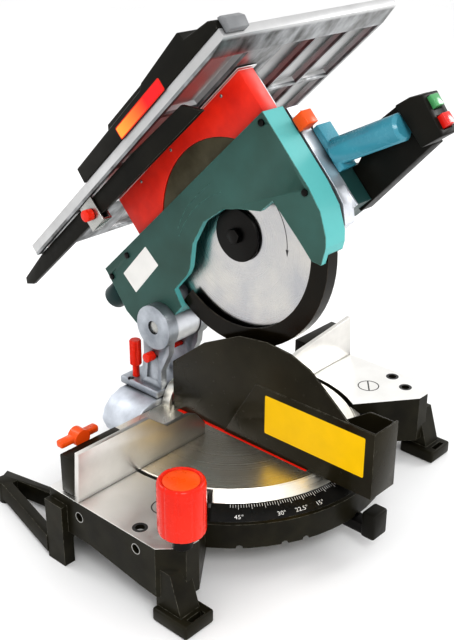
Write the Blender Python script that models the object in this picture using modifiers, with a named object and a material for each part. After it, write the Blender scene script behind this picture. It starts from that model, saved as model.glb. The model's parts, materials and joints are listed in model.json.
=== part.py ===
"""A combination mitre saw with a saw table on its head, standing free with the head raised.

Metres, +Z up. X runs along the fence, Y from the front to the back. The head's pieces are drawn in the
head's own frame, whose origin is the centre of the blade, with Y along the saw table and Z square to it.
"""
import math

import bmesh
import bpy
from mathutils import Matrix, Vector

# Sizes and clearances that several pieces share
GAP = 0.0003
RUNNING_GAP = 0.0005
OVERRUN = 0.002
BLADE_RADIUS = 0.125
BLADE_THICKNESS = 0.0024
BLADE_LEFT = -0.0022
DECK_HEIGHT = 0.088
TURNTABLE_RADIUS = 0.15
HEAD_TILT = math.radians(43.5)
WELD = 0.00001
EDGE_ANGLE = math.radians(35)
FRAME_MARK = 0.05

# How finely round things are drawn, and whole turns in degrees
HEX_SIDES = 6
NOTCH_SIDES = 8
SMALL_SIDES = 12
THIN_SIDES = 16
SLIM_SIDES = 20
ROUND_SIDES = 24
WIDE_SIDES = 32
PROFILE_SIDES = 36
BROAD_SIDES = 40
HUB_SIDES = 48
RING_SIDES = 60
LARGE_SIDES = 72
FAN_STEPS = 12
FLUTE_OUT_SHARE = 1 / 3
FULL_TURN = 360
HALF_TURN = 180
QUARTER_TURN = 90
MATRIX_ROWS = 4
DIGITS = 6

# Hinge of the head, and where it lies in the head's frame
HINGE_Y = 0.096
HINGE_HEIGHT = 0.1915
HINGE_BACK = 0.1731
HINGE_DROP = 0.0255
HINGE_PIN_RADIUS = 0.008
HINGE_EYE_RADIUS = 0.028
HINGE_EYE_INNER = 0.0195
HINGE_EYE_OUTER = 0.035
EYE_ROOM_GAP = 0.0015

# Base casting
DECK_THICKNESS = 0.006
BASE_WALL = 0.006
BASE_HALF_WIDTH = 0.24
WING_REAR = 0.048
WING_OPENING_RADIUS = 0.156
WING_OPENING_STEPS = 6
WING_STEP_Y = 0.028
WING_STEP_X = 0.176
WING_FRONT_SHARES = [
    (-1.6, -0.773), (-1.453, -0.92), (-1.33, -0.92), (-1.207, -0.827),
]
WING_CORNER_ANGLE = math.radians(213.2)
SKIRT_SHARES = [(0.4, 0.477), (-0.1, 0.477), (-0.613, 0.352), (-1, 0.295)]
RING_OUTER_RADIUS = 0.19
RING_WALL = 0.005
RING_WALL_BOTTOM = 0.040
RING_WALL_TOP = 0.070
RING_SHELF_BOTTOM = 0.058
RING_SHELF_TOP = 0.064
RING_HALF_ANGLE = math.radians(60)
RING_VIEW_HALF_ANGLE = math.radians(55.2)
NOTCH_RADIUS = 0.004
NOTCH_ANGLES = (-45, -30, -22.5, 0, 22.5, 30, 45)
HUB_RADIUS = 0.06
HUB_BOTTOM = 0.026
HUB_TOP = 0.046
SPOKE_HALF_WIDTH = 0.022
ROD_HOLE_RADIUS = 0.0055
ROD_HOLE_SHARES = [(0, 0.795), (-0.587, 0.841)]
DECK_HOLE_RADIUS = 0.006
DECK_HOLE_SHARES = [(-1.5, -0.527), (-1.413, -0.72)]
FOOT_LEFT = 0.2435
FOOT_RIGHT = 0.2025
FOOT_FRONT = 0.1615
FOOT_BACK = 0.113
FOOT_HEIGHT = 0.016
FOOT_RIM = 0.005
FOOT_SLOT_HALF_WIDTH = 0.003
FOOT_SLOT_LENGTH = 0.020
LEG_SHARES = [
    (-0.753, 0.091), (-1, 0.091), (-0.887, 0.705), (-0.747, 0.705),
]
LEG_INSET = 0.007
REAR_LEG_LEFT = 0.248
REAR_LEG_RIGHT = 0.234
REAR_LEG_FRONT = 0.020
REAR_LEG_TOP = 0.076
WEB_THICKNESS = 0.006
WEB_SHARES = [
    (-1.573, 0.045), (-1.573, 0.705), (-1.267, 0.705), (-1.267, 0.5),
]

# Mitre scale on the front of the base
BEVEL_RING_OUTER_RADIUS = 0.162
BEVEL_RING_DROP = 0.010
SCALE_OUTER_RADIUS = 0.1847
SCALE_DROP = 0.018

# Outriggers at the back of the base
OUTRIGGER_SHARES = [
    (-1.66, 0.333), (-1.46, 1.173), (-1.327, 1.24), (-1.147, 0.333),
]
OUTRIGGER_HOLE_SHARES = [
    (-1.56, 0.413), (-1.407, 1.067), (-1.36, 1.067), (-1.247, 0.413),
]
OUTRIGGER_BOTTOM = 0.006
OUTRIGGER_TOP = 0.028
OUTRIGGER_PAD_RADIUS = 0.010
OUTRIGGER_PAD_SHARES = [(-1.413, 1.147)]
OUTRIGGER_LUG_TOP = 0.060
OUTRIGGER_LUG_LENGTH = 0.010

# Clamp knob on the left wing
CLAMP_X = -0.217
CLAMP_Y = -0.132
CLAMP_KNOB_RADIUS = 0.025
CLAMP_KNOB_HEIGHT = 0.060
CLAMP_FLUTE_RADIUS = 0.0045
CLAMP_FLUTES = 10
CLAMP_NECK_RADIUS = 0.011
CLAMP_NECK_HEIGHT = 0.018
CLAMP_STUD_RADIUS = 0.004
CLAMP_STUD_LENGTH = 0.020

# Turntable
TURNTABLE_TOP_THICKNESS = 0.008
TURNTABLE_RIM = 0.006
TURNTABLE_RIM_BOTTOM = 0.068
TURNTABLE_BOSS_RADIUS = 0.032
TURNTABLE_EDGE = 0.001
TURNTABLE_CUT_Y = 0.0887
PIVOT_WALL_FRONT = 0.076
PIVOT_WALL_HALF_WIDTH = 0.060
PIVOT_WALL_BOTTOM = 0.050
PIVOT_BOSS_RADIUS = 0.030
PIVOT_PIN_RADIUS = 0.006
PIVOT_NUT_RADIUS = 0.009
PIVOT_NUT_LENGTH = 0.009
TABLE_BOLT_RADIUS = 0.006
TABLE_BOLT_HEAD_RADIUS = 0.011
TABLE_BOLT_HEAD_HEIGHT = 0.008
TABLE_BOLT_REACH = 0.020
INSERT_LEFT = -0.0285
INSERT_RIGHT = 0.018
INSERT_FRONT = -0.137
INSERT_BACK = 0.064
INSERT_THICKNESS = 0.004
KERF_HALF_WIDTH = 0.0026
KERF_FRONT = -0.130
KERF_BACK = 0.044

# Mitre lock under the front of the turntable
LOCK_ARM_HALF_WIDTH = 0.009
LOCK_ARM_BACK = -0.100
LOCK_ARM_FRONT = -0.204
LOCK_ARM_BOTTOM = 0.026
LOCK_ARM_TOP = 0.039
LOCK_BLOCK_LENGTH = 0.030
LOCK_GRIP_HALF_WIDTH = 0.013
LOCK_GRIP_LENGTH = 0.018
LOCK_GRIP_TOP = 0.058

# Lower blade cover standing on the turntable
COVER_LEFT = -0.026
COVER_WIDTH = 0.0425
COVER_WALL = 0.0022
COVER_REAR_SHARE = 0.592
COVER_LEFT_WALL_SHARES = [
    (-1.792, 0), (0.592, 0), (0.592, 0.498), (0.176, 0.832), (-0.264, 1.046), (-0.592, 1.091),
    (-0.864, 1.064), (-1.08, 0.987), (-1.304, 0.81), (-1.512, 0.638), (-1.792, 0.638),
]
COVER_BOX_SHARES = [(-1.792, 0), (-0.096, 0), (-0.48, 0.638), (-1.792, 0.638)]
COVER_RIGHT_WALL_SHARES = [
    (-1.792, 0), (0.592, 0), (0.592, 0.24), (-1.2, 0.4), (-1.512, 0.616), (-1.792, 0.616),
]
COVER_FLOOR_BACK_SHARE = -1.216
COVER_STRAP_LENGTH = 0.008
COVER_BOX_STEP = 0.0015

# Fences
FENCE_FACE_THICKNESS = 0.006
FENCE_LEFT_SHARES = [
    (-1.6, 0.003), (-1.573, 0.659), (-0.893, 0.659), (-0.713, 0.42), (-0.467, 0.415), (-0.387, 0.352),
    (-0.307, 0.182), (-0.307, 0.003),
]
FENCE_RIGHT_SHARES = [
    (1.6, 0.003), (1.573, 0.648), (0.86, 0.5), (0.713, 0.42), (0.467, 0.415), (0.387, 0.352),
    (0.307, 0.182), (0.307, 0.003),
]
FRAME_OUTER = 0.236
FRAME_INNER = 0.158
FRAME_DEPTH = 0.025
FRAME_HEIGHT = 0.046
FRAME_RIGHT_HEIGHT = 0.041
FRAME_WALL = 0.006
WING_KNOB_X = -0.203
WING_KNOB_ABOVE_DECK = 0.050
WING_KNOB_HUB_RADIUS = 0.010
WING_KNOB_LENGTH = 0.014
WING_KNOB_SPAN = 0.026
WING_KNOB_THICKNESS = 0.008

# Tilt arm and hinge bracket behind the turntable
ARM_FRONT = 0.089
ARM_BACK = 0.150
ARM_SHARES = [
    (-0.3, 1.102), (-0.413, 1.034), (-0.493, 0.898), (-0.527, 0.727), (-0.473, 0.523), (0.473, 0.523),
    (0.527, 0.727), (0.493, 0.898), (0.413, 1.034), (0.3, 1.102),
]
ARM_TOP = 0.097
FLANGE_HALF_WIDTH = 0.038
FLANGE_BACK = 0.156
FLANGE_THICKNESS = 0.010
POST_LEFT = 0.029
POST_SHARES = [
    (0.6, 1.182), (0.847, 1.182), (0.8, 1.705), (0.807, 2.159), (0.48, 2.159), (0.507, 1.818),
    (0.6, 1.5),
]
POST_WINDOW_SHARES = [
    (0.647, 1.318), (0.773, 1.318), (0.747, 1.727), (0.633, 1.727), (0.62, 1.545),
]
POST_WINDOW_DEPTH = 0.003
FLANGE_BOLT_X = 0.0335
FLANGE_BOLT_Y = 0.140
FLANGE_BOLT_RADIUS = 0.004
BEVEL_STUD_X = -0.024
BEVEL_STUD_Y = 0.141
BEVEL_STUD_RADIUS = 0.0045
BEVEL_STUD_LENGTH = 0.016
BEVEL_KNOB_RADIUS = 0.0075
BEVEL_KNOB_HEIGHT = 0.034
BEVEL_KNOB_FLUTES = 6
BEVEL_KNOB_FLUTE_RADIUS = 0.0022
LOCK_PIN_RADIUS = 0.003
LOCK_PIN_KNOB_RADIUS = 0.006
LOCK_PIN_KNOB_LENGTH = 0.012
LOCK_PIN_Y = 0.104
LOCK_PIN_HEIGHT = 0.150
SPRING_COILS = 6
SPRING_POINTS_PER_COIL = 10
SPRING_RADIUS = 0.0135
SPRING_WIRE_RADIUS = 0.0014
SPRING_PITCH = 0.0042
SPRING_START = 0.041
SPRING_LEG = 0.022

# Head casting on the right of the blade
CASTING_LEFT = 0.0172
CASTING_THICKNESS = 0.0168
CASTING_SHARES = [
    (-1.072, 0.584), (-1.072, -0.2), (-1.048, -0.352), (-0.952, -0.496), (-0.8, -0.496),
    (-0.672, -0.352), (-0.48, -0.272), (0.32, -0.272), (0.88, -0.304), (1.144, -0.336), (1.2, -0.256),
    (1.616, -0.096), (1.648, 0.08), (1.632, 0.56),
]
BAND_BLOCK_RIGHT = 0.0575
BAND_BLOCK_BACK_SHARE = -0.8
BAND_BLOCK_BOTTOM_SHARE = -0.4
BAND_BLOCK_TOP_SHARE = 0.34
HANDLE_BLOCK_RIGHT = 0.080
HANDLE_BLOCK_FRONT_SHARE = -0.896
HANDLE_BLOCK_BACK_SHARE = -0.704
BARREL_RADIUS = 0.0265
BARREL_HALF_LENGTH = 0.019
LINK_LEFT = -0.014
LINK_SHARES = [
    (1.112, -0.152), (1.48, -0.152), (1.48, 0.128), (1.112, 0.128),
]

# Green cover on the left of the blade
GREEN_LEFT = -0.019
GREEN_WIDTH = 0.0325
GREEN_WALL = 0.0025
GREEN_SHARES = [
    (-1.072, 0.488), (-1.072, 0.608), (1.728, 0.608), (1.728, 0.56), (1.768, 0.136), (1.696, -0.16),
    (1.256, -0.224), (1.016, -0.198), (0.981, -0.024), (0.72, 0), (0.64, 0.032), (0.445, 0.184),
    (0.176, 0.267), (-0.12, 0.229), (-0.288, 0.132), (-0.488, -0.008), (-0.664, -0.008),
    (-0.672, -0.064), (-0.688, -0.432), (-0.688, -0.608), (-0.752, -0.688), (-0.888, -0.6),
    (-0.952, -0.528), (-1.04, -0.336), (-1.068, -0.124),
]
GREEN_RIM_DEPTH = 0.008
HOOD_SLOT_FRONT_SHARE = -1.048
HOOD_SLOT_BACK_SHARE = 1.084
GREEN_SCREW_SHARES = [
    (1.688, 0.496), (1.32, 0.544), (-1.016, -0.136), (-1.008, 0.544),
]
SCREW_RADIUS = 0.0032
SCREW_HEAD_RADIUS = 0.0038
SCREW_HEAD_HEIGHT = 0.0018
SCREW_LENGTH = 0.0050
BOSS_RADIUS = 0.0055
DISC_LEFT = -0.0109
DISC_THICKNESS = 0.0011
DISC_BOTTOM_SHARE = 0.48
PORT_RADIUS = 0.0155
PORT_WALL = 0.002
PORT_LENGTH = 0.026
PORT_X = -0.0028
PORT_Z_SHARE = 0.36
PORT_FRONT_SHARE = 1.765

# Lower guard round the blade
GUARD_RADIUS = 0.1295
GUARD_RIM = 0.0018
GUARD_LEFT = -0.0095
GUARD_RIGHT = 0.0065
GUARD_PLATE = 0.0015
GUARD_OPENING_SHARE = 0.856
GUARD_START = math.radians(213)
GUARD_END = math.radians(352)
GUARD_HUB_RADIUS = 0.034
GUARD_HUB_RIGHT = 0.009
GUARD_REST_STEPS = 10
NOSE_RADIUS = 0.0237

# Blade, its arbor and the drive
BLADE_TEETH = 40
TOOTH_DEPTH = 0.005
TOOTH_SHARES = [(0, 0), (1 / 3, 1 / 4), (1 / 2, 1), (5 / 6, 1)]
BLADE_BORE_RADIUS = 0.008
FLANGE_RADIUS = 0.031
ARBOR_FLANGE_THICKNESS = 0.0045
ARBOR_BOLT_RADIUS = 0.009
ARBOR_BOLT_LENGTH = 0.006
INNER_FLANGE_RADIUS = 0.020
INNER_FLANGE_RIGHT = 0.0042
ARBOR_RADIUS = 0.0078
ARBOR_RIGHT = 0.053
GEAR_LEFT = 0.0395
GEAR_WIDTH = 0.009
GEAR_RADIUS = 0.0275
PINION_RADIUS = 0.0075
MOTOR_Y = 0.026
GEARBOX_LEFT = 0.0343
GEARBOX_WIDTH = 0.0222
GEARBOX_WALL = 0.003
GEARBOX_RADIUS = 0.034
MOTOR_RADIUS = 0.044
MOTOR_WALL = 0.003
MOTOR_LENGTH = 0.092
MOTOR_CAP_LENGTH = 0.018
MOTOR_SLOTS = 10
MOTOR_SLOT_WIDTH = 0.004
MOTOR_SLOT_DEPTH = 0.0045
MOTOR_SLOT_INNER = 0.0146667
MOTOR_SLOT_OUTER = 0.0352
ROTOR_RADIUS = 0.030
ROTOR_SHAFT_RADIUS = 0.005
ROTOR_MARGIN = 0.012
SHAFT_POCKET_RADIUS = 0.011
SHAFT_END_REACH = 0.0045
GLAND_RADIUS = 0.007
GLAND_BORE_RADIUS = 0.0035
GLAND_LENGTH = 0.018
GLAND_TIP_RADIUS = 0.0049
GLAND_INSET = 0.023

# Handle, switch box and buttons
PLATE_LEFT = 0.034
PLATE_RIGHT = 0.057
PLATE_THICKNESS = 0.0085
PLATE_BOTTOM_SHARE = -0.092
PLATE_TOP_SHARE = 0.34
GRIP_X = 0.0425
GRIP_RADIUS = 0.0155
GRIP_START_SHARES = [(-1.104, 0.08)]
GRIP_END_SHARES = [(-1.808, -0.128)]
GRIP_SIDES = 8
GRIP_EDGE = 0.0031
HOUSING_LEFT = 0.0588
HOUSING_WIDTH = 0.021
HOUSING_WALL = 0.0025
HOUSING_SHARES = [
    (-0.898, -0.424), (-1.52, -0.384), (-1.843, -0.36), (-1.843, 0.064), (-1.568, 0.072),
    (-1.12, -0.096), (-0.898, 0.016),
]
BOX_LEFT = 0.040
BOX_WIDTH = 0.028
BOX_SHARES = [
    (-1.846, 0.04), (-1.996, 0.016), (-2.1, -0.032), (-2.064, -0.384), (-1.846, -0.352),
]
BUTTON_HALF_SIZE = 0.0065
BUTTON_TRAVEL = 0.0025
BUTTON_LENGTH = 0.012
BUTTON_OUT = 0.005
ON_BUTTON_Z_SHARE = -0.112
OFF_BUTTON_Z_SHARE = -0.28
BUTTON_FACE_Y_SHARE = -2.09
RELEASE_LEFT = 0.010
RELEASE_SIZE = 0.016
RELEASE_BOTTOM_SHARE = 0.336
RELEASE_STANDOFF = 0.0036
RELEASE_TRAVEL = 0.003
RELEASE_STEM_RADIUS = 0.003
RELEASE_STEM_LENGTH = 0.010
RELEASE_STEM_X = 0.0222

# Saw table on the head
TABLE_LEFT = -0.078
TABLE_RIGHT = 0.208
TABLE_FRONT_SHARE = -1.528
TABLE_BACK_SHARE = 1.96
TABLE_TOP_SHARE = 1.152
TABLE_THICKNESS = 0.014
TABLE_SKIN = 0.005
TABLE_RIM = 0.005
TABLE_RIB = 0.004
TABLE_LIP = 0.010
TABLE_LIP_SLANT = 0.027
TABLE_POCKETS_ACROSS = 3
TABLE_POCKETS_ALONG = 4
TABLE_PAD_LEFT = -0.020
TABLE_PAD_RIGHT = 0.036
SLOT_LEFT = -0.0052
SLOT_RIGHT = 0.0030
SLOT_FRONT_SHARE = -0.8
SLOT_BACK_SHARE = 1.024
TABLE_TRAVEL = 0.044
ROD_RADIUS = 0.005
ROD_X = 0.0256
ROD_SHARES = [(-0.896, 0.32), (1.104, 0.32)]

# Hood under the saw table
HOOD_LEFT = -0.0124
HOOD_RIGHT = 0.010
HOOD_WALL = 0.0022
HOOD_FRONT_SHARE = -1.04
HOOD_BACK_SHARE = 1.072
HOOD_TOP_SHARE = 1.027
HOOD_BOTTOM_SHARE = 0.496
HOOD_WINDOW_SIDES = 64
HOOD_WINDOW_SHARE = 0.88
HOOD_FLANGE_THICKNESS = 0.0013
HOOD_FLANGE_OUT = 0.004

# Riving knife and crown guard above the saw table
KNIFE_THICKNESS = 0.002
KNIFE_SHARES = [
    (0.928, 0.808), (1.054, 0.808), (1.054, 0.976), (1, 0.992), (1, 1.136), (0.808, 1.208),
    (0.808, 1.408), (0.672, 1.544), (0.496, 1.576), (0.496, 1.52), (0.672, 1.376), (0.72, 1.168),
    (0.808, 1),
]
CROWN_SHARES = [
    (-0.736, 1.224), (0.832, 1.224), (0.864, 1.408), (0.672, 1.624), (-0.32, 1.624), (-0.608, 1.472),
]
CROWN_HALF_WIDTH = 0.011
CROWN_WALL = 0.002

# Rip fence on the saw table
RIP_LEFT = -0.080
RIP_WIDTH = 0.032
RIP_SHARES = [
    (0.752, 1.154), (0.741, 1.304), (-0.476, 1.32), (-0.525, 1.352), (-1.165, 1.392), (-1.176, 1.312),
    (-1.48, 1.256), (-1.531, 1.224), (-1.531, 1.154),
]
RIP_CLAMP_LEFT = -0.073
RIP_CLAMP_RIGHT = -0.045
RIP_CLAMP_SHARES = [
    (-1.534, 1.096), (-1.534, 1.24), (-1.568, 1.232), (-1.608, 1.184), (-1.592, 1.096),
]

# Push stick in its clip under the saw table
STICK_LEFT = -0.0735
STICK_THICKNESS = 0.006
STICK_SHARES = [
    (-0.912, 0.816), (-0.264, 0.832), (0.984, 0.852), (1.6, 0.868), (2.32, 0.88), (2.424, 0.936),
    (2.384, 0.992), (1.936, 1.032), (1.048, 1.032), (0.064, 1.024), (-0.744, 0.984),
]
CLIP_BACK_SHARE = 1.024
CLIP_FRONT_SHARE = 0.8
CLIP_BOTTOM_SHARE = 0.784
CLIP_WALL = 0.003
CLIP_KNOB_RADIUS = 0.007
CLIP_KNOB_LENGTH = 0.010

# Height knob on the right of the casting
HEIGHT_KNOB_RADIUS = 0.016
HEIGHT_KNOB_LENGTH = 0.018
HEIGHT_KNOB_LOBES = 7
HEIGHT_KNOB_LOBE_RADIUS = 0.004

TURNS = {
    "X": Matrix(((0, 0, 1), (1, 0, 0), (0, 1, 0))),
    "Y": Matrix(((1, 0, 0), (0, 0, -1), (0, 1, 0))),
    "Z": Matrix.Identity(3),
}
LOOKS = {
    "black_paint": ((0.035, 0.036, 0.030), 0.45, 0.0),
    "machined": ((0.80, 0.79, 0.76), 0.28, 1.0),
    "cast_light": ((0.62, 0.61, 0.64), 0.45, 0.9),
    "zinc": ((0.70, 0.70, 0.70), 0.35, 1.0),
    "dark_steel": ((0.10, 0.10, 0.10), 0.40, 0.9),
    "blade_steel": ((0.74, 0.71, 0.66), 0.22, 1.0),
    "green_plastic": ((0.030, 0.150, 0.110), 0.35, 0.0),
    "teal_plastic": ((0.040, 0.300, 0.380), 0.35, 0.0),
    "red_paint": ((0.700, 0.045, 0.020), 0.35, 0.0),
    "red_plastic": ((0.850, 0.060, 0.020), 0.30, 0.0),
    "orange_plastic": ((0.900, 0.200, 0.030), 0.35, 0.0),
    "black_plastic": ((0.020, 0.022, 0.020), 0.40, 0.0),
    "guard_plastic": ((0.030, 0.022, 0.016), 0.15, 0.0),
    "scale_black": ((0.025, 0.025, 0.025), 0.35, 0.3),
    "green_button": ((0.050, 0.500, 0.120), 0.30, 0.0),
    "grey_paint": ((0.300, 0.310, 0.320), 0.45, 0.2),
}

for old in list(bpy.data.objects):
    bpy.data.objects.remove(old)


def new_collection(name):
    collection = bpy.data.collections.new(name)
    bpy.context.scene.collection.children.link(collection)
    return collection


PARTS = new_collection("combination_mitre_saw")
CUTTERS = new_collection("cutters")


def loose(mesh):
    """A working piece, kept apart from the parts until a part takes it up."""
    piece = bpy.data.objects.new("piece", mesh)
    piece.display_type = "WIRE"
    piece.hide_render = True
    CUTTERS.objects.link(piece)
    return piece


def from_bmesh(shape, matrix=None):
    if matrix is not None:
        bmesh.ops.transform(shape, matrix=matrix, verts=shape.verts)
    bmesh.ops.recalc_face_normals(shape, faces=shape.faces)
    mesh = bpy.data.meshes.new("piece")
    shape.to_mesh(mesh)
    shape.free()
    return loose(mesh)


def evaluated(piece):
    """The piece's mesh as its modifiers leave it, or a curve's mesh, with loose caps welded."""
    graph = bpy.context.evaluated_depsgraph_get()
    mesh = bpy.data.meshes.new_from_object(piece.evaluated_get(graph))
    shape = bmesh.new()
    shape.from_mesh(mesh)
    bmesh.ops.remove_doubles(shape, verts=shape.verts, dist=WELD)
    bpy.data.meshes.remove(mesh)
    return shape


def bake(piece):
    shape = evaluated(piece)
    piece.modifiers.clear()
    shape.to_mesh(piece.data)
    shape.free()
    return piece


def box(x, y, z):
    """A box between two values on each axis."""
    shape = bmesh.new()
    bmesh.ops.create_cube(shape, size=1)
    spans = [Vector((low, high)) for low, high in (x, y, z)]
    middle = Vector([sum(span) / 2 for span in spans])
    size = Vector([span[1] - span[0] for span in spans])
    return from_bmesh(shape, Matrix.Translation(middle) @ Matrix.Diagonal((*size, 1)))


def rod(axis, centre, radius, low, high, sides=ROUND_SIDES, tip_radius=None):
    """A cylinder or cone along an axis, from low to high, round a centre in the other two axes' order."""
    shape = bmesh.new()
    tip_radius = radius if tip_radius is None else tip_radius
    bmesh.ops.create_cone(shape, cap_ends=True, segments=sides, radius1=radius, radius2=tip_radius,
                          depth=high - low)
    flip = Matrix.Rotation(math.pi, MATRIX_ROWS, "X") if axis == "Y" else Matrix.Identity(MATRIX_ROWS)
    middle = (low + high) / 2
    lift = -middle if axis == "Y" else middle
    place = Matrix.Translation((centre[0], centre[1], lift))
    return from_bmesh(shape, TURNS[axis].to_4x4() @ place @ flip)


def plate(axis, outline, low, high, holes=()):
    """A flat outline, drawn in the axis's other two coordinates, from low to high along it."""
    curve = bpy.data.curves.new("outline", "CURVE")
    curve.dimensions = "2D"
    curve.fill_mode = "BOTH"
    curve.extrude = (high - low) / 2
    for points in (outline, *holes):
        spline = curve.splines.new("POLY")
        spline.points.add(len(points) - 1)
        for point, (across, up) in zip(spline.points, points):
            point.co = (across, up, 0, 1)
        spline.use_cyclic_u = True
    guide = bpy.data.objects.new("outline", curve)
    CUTTERS.objects.link(guide)
    shape = evaluated(guide)
    bpy.data.objects.remove(guide)
    middle = (low + high) / 2
    lift = -middle if axis == "Y" else middle
    return from_bmesh(shape, TURNS[axis].to_4x4() @ Matrix.Translation((0, 0, lift)))


def turned(axis, centre, profile, steps=PROFILE_SIDES):
    """A profile of (radius, height) points, its outer side from the top down, turned round an axis."""
    shape = bmesh.new()
    corners = [shape.verts.new((radius, 0, height)) for radius, height in profile]
    for first, second in zip(corners, corners[1:]):
        shape.edges.new((first, second))
    if profile[0][0] > 0:
        shape.edges.new((corners[-1], corners[0]))
    mesh = bpy.data.meshes.new("profile")
    shape.to_mesh(mesh)
    shape.free()
    guide = loose(mesh)
    screw = guide.modifiers.new("Turn", "SCREW")
    screw.steps = steps
    screw.render_steps = steps
    screw.use_merge_vertices = True
    screw.merge_threshold = WELD
    shape = evaluated(guide)
    bpy.data.objects.remove(guide)
    flip = Matrix.Rotation(math.pi, MATRIX_ROWS, "X") if axis == "Y" else Matrix.Identity(MATRIX_ROWS)
    place = Matrix.Translation((centre[0], centre[1], 0))
    return from_bmesh(shape, TURNS[axis].to_4x4() @ place @ flip)


def tube(points, radius, sides_level):
    """A round wire through points, with its ends closed."""
    curve = bpy.data.curves.new("wire", "CURVE")
    curve.dimensions = "3D"
    curve.bevel_depth = radius
    curve.bevel_resolution = sides_level
    curve.use_fill_caps = True
    spline = curve.splines.new("POLY")
    spline.points.add(len(points) - 1)
    for point, place in zip(spline.points, points):
        point.co = (*place, 1)
    guide = bpy.data.objects.new("wire", curve)
    CUTTERS.objects.link(guide)
    shape = evaluated(guide)
    bpy.data.objects.remove(guide)
    return from_bmesh(shape)


def combine(base, others, operation):
    for other in others:
        step = base.modifiers.new(operation.title(), "BOOLEAN")
        step.operation = operation
        step.object = other
    bake(base)
    for other in others:
        bpy.data.objects.remove(other)
    return base


def join(base, *others):
    return combine(base, others, "UNION")


def cut(base, *others):
    return combine(base, others, "DIFFERENCE")


def soften(piece, width, segments=2):
    """Rounds the piece's sharp edges."""
    bevel = piece.modifiers.new("Edges", "BEVEL")
    bevel.width = width
    bevel.segments = segments
    bevel.limit_method = "ANGLE"
    bevel.angle_limit = EDGE_ANGLE
    return bake(piece)


def mirrored(piece):
    """The same piece on the other side of the saw."""
    piece.data.transform(Matrix.Diagonal((-1, 1, 1, 1)))
    piece.data.flip_normals()
    return piece


def arc(centre, radius, start, end, count):
    """Points on an arc, angles in degrees from the first axis towards the second."""
    angles = [math.radians(start + (end - start) * step / count) for step in range(count + 1)]
    return [(centre[0] + radius * math.cos(a), centre[1] + radius * math.sin(a)) for a in angles]


def spread(shares, across, up=None, base=0):
    """An outline's shares as lengths, the second ones measured from a base."""
    up = across if up is None else up
    return [(a * across, base + b * up) for a, b in shares]


def inset(outline, distance):
    """The outline moved inwards by a distance all round."""
    count = len(outline)
    area = sum(outline[i - 1][0] * outline[i][1] - outline[i][0] * outline[i - 1][1] for i in range(count))
    side = math.copysign(distance, area)
    moved = []
    for i in range(count):
        before, here, after = (Vector(outline[k % count]) for k in (i - 1, i, i + 1))
        first = (here - before).normalized()
        second = (after - here).normalized()
        first_normal = Vector((-first.y, first.x))
        second_normal = Vector((-second.y, second.x))
        bisector = first_normal + second_normal
        moved.append(tuple(here + bisector * (side * 2 / bisector.length_squared)))
    return moved


class Frame:
    """An empty that pieces ride on, and where the drawing's origin lies from it."""

    def __init__(self, name, parent, location, tilt=0, origin=(0, 0, 0)):
        self.empty = bpy.data.objects.new(name, None)
        self.empty.empty_display_size = FRAME_MARK
        self.empty.location = location
        self.empty.rotation_euler = (tilt, 0, 0)
        self.origin = Vector(origin)
        PARTS.objects.link(self.empty)
        if parent is not None:
            self.empty.parent = parent.empty


def finish(piece, name, frame, look, pivot=(0, 0, 0)):
    """Names a piece, gives it its material and origin, and hangs it on its frame."""
    colour, roughness, metallic = LOOKS[look]
    material = bpy.data.materials.new(name)
    material.use_nodes = True
    shader = material.node_tree.nodes["Principled BSDF"]
    shader.inputs["Base Color"].default_value = (*colour, 1)
    shader.inputs["Roughness"].default_value = roughness
    shader.inputs["Metallic"].default_value = metallic
    material.diffuse_color = (*colour, 1)
    mesh = piece.data
    mesh.transform(Matrix.Translation(-Vector(pivot)))
    mesh.materials.clear()
    mesh.materials.append(material)
    mesh.shade_smooth()
    mesh.set_sharp_from_angle(angle=EDGE_ANGLE)
    mesh.name = name
    piece.name = name
    piece.display_type = "TEXTURED"
    piece.hide_render = False
    CUTTERS.objects.unlink(piece)
    PARTS.objects.link(piece)
    piece.parent = frame.empty
    piece.location = frame.origin + Vector(pivot)
    return piece


# The frames: the machine, its mitre and bevel turns, and the head on its hinge
DECK = (0, 0, DECK_HEIGHT)
MACHINE = Frame("machine", None, (0, 0, 0))
MITRE = Frame("mitre_axis", MACHINE, (0, 0, 0))
BEVEL = Frame("bevel_axis", MITRE, DECK, origin=(0, 0, -DECK_HEIGHT))
HEAD = Frame("chop_axis", BEVEL, (0, HINGE_Y, HINGE_HEIGHT - DECK_HEIGHT), tilt=-HEAD_TILT,
             origin=(0, -HINGE_BACK, HINGE_DROP))
HINGE_IN_HEAD = (HINGE_BACK, -HINGE_DROP)
HINGE = (HINGE_Y, HINGE_HEIGHT)
BLADE_AXIS = (0, 0)


def fan(half_angle, radius, towards=-QUARTER_TURN):
    """A wedge outline in plan that covers everything outside a fan about the front."""
    return [(0, 0)] + arc((0, 0), radius, towards + half_angle, towards + FULL_TURN - half_angle,
                          FAN_STEPS)


def wing_outline():
    """The left wing in plan, with its opening for the turntable."""
    corner = math.degrees(WING_CORNER_ANGLE)
    opening_end = HALF_TURN - math.degrees(math.asin(WING_STEP_Y / WING_OPENING_RADIUS))
    opening = arc((0, 0), WING_OPENING_RADIUS, corner, opening_end, WING_OPENING_STEPS)
    back = [(-WING_STEP_X, WING_STEP_Y), (-WING_STEP_X, WING_REAR)]
    front = spread(WING_FRONT_SHARES, TURNTABLE_RADIUS)
    return [(-BASE_HALF_WIDTH, WING_REAR)] + front + opening + back


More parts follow.
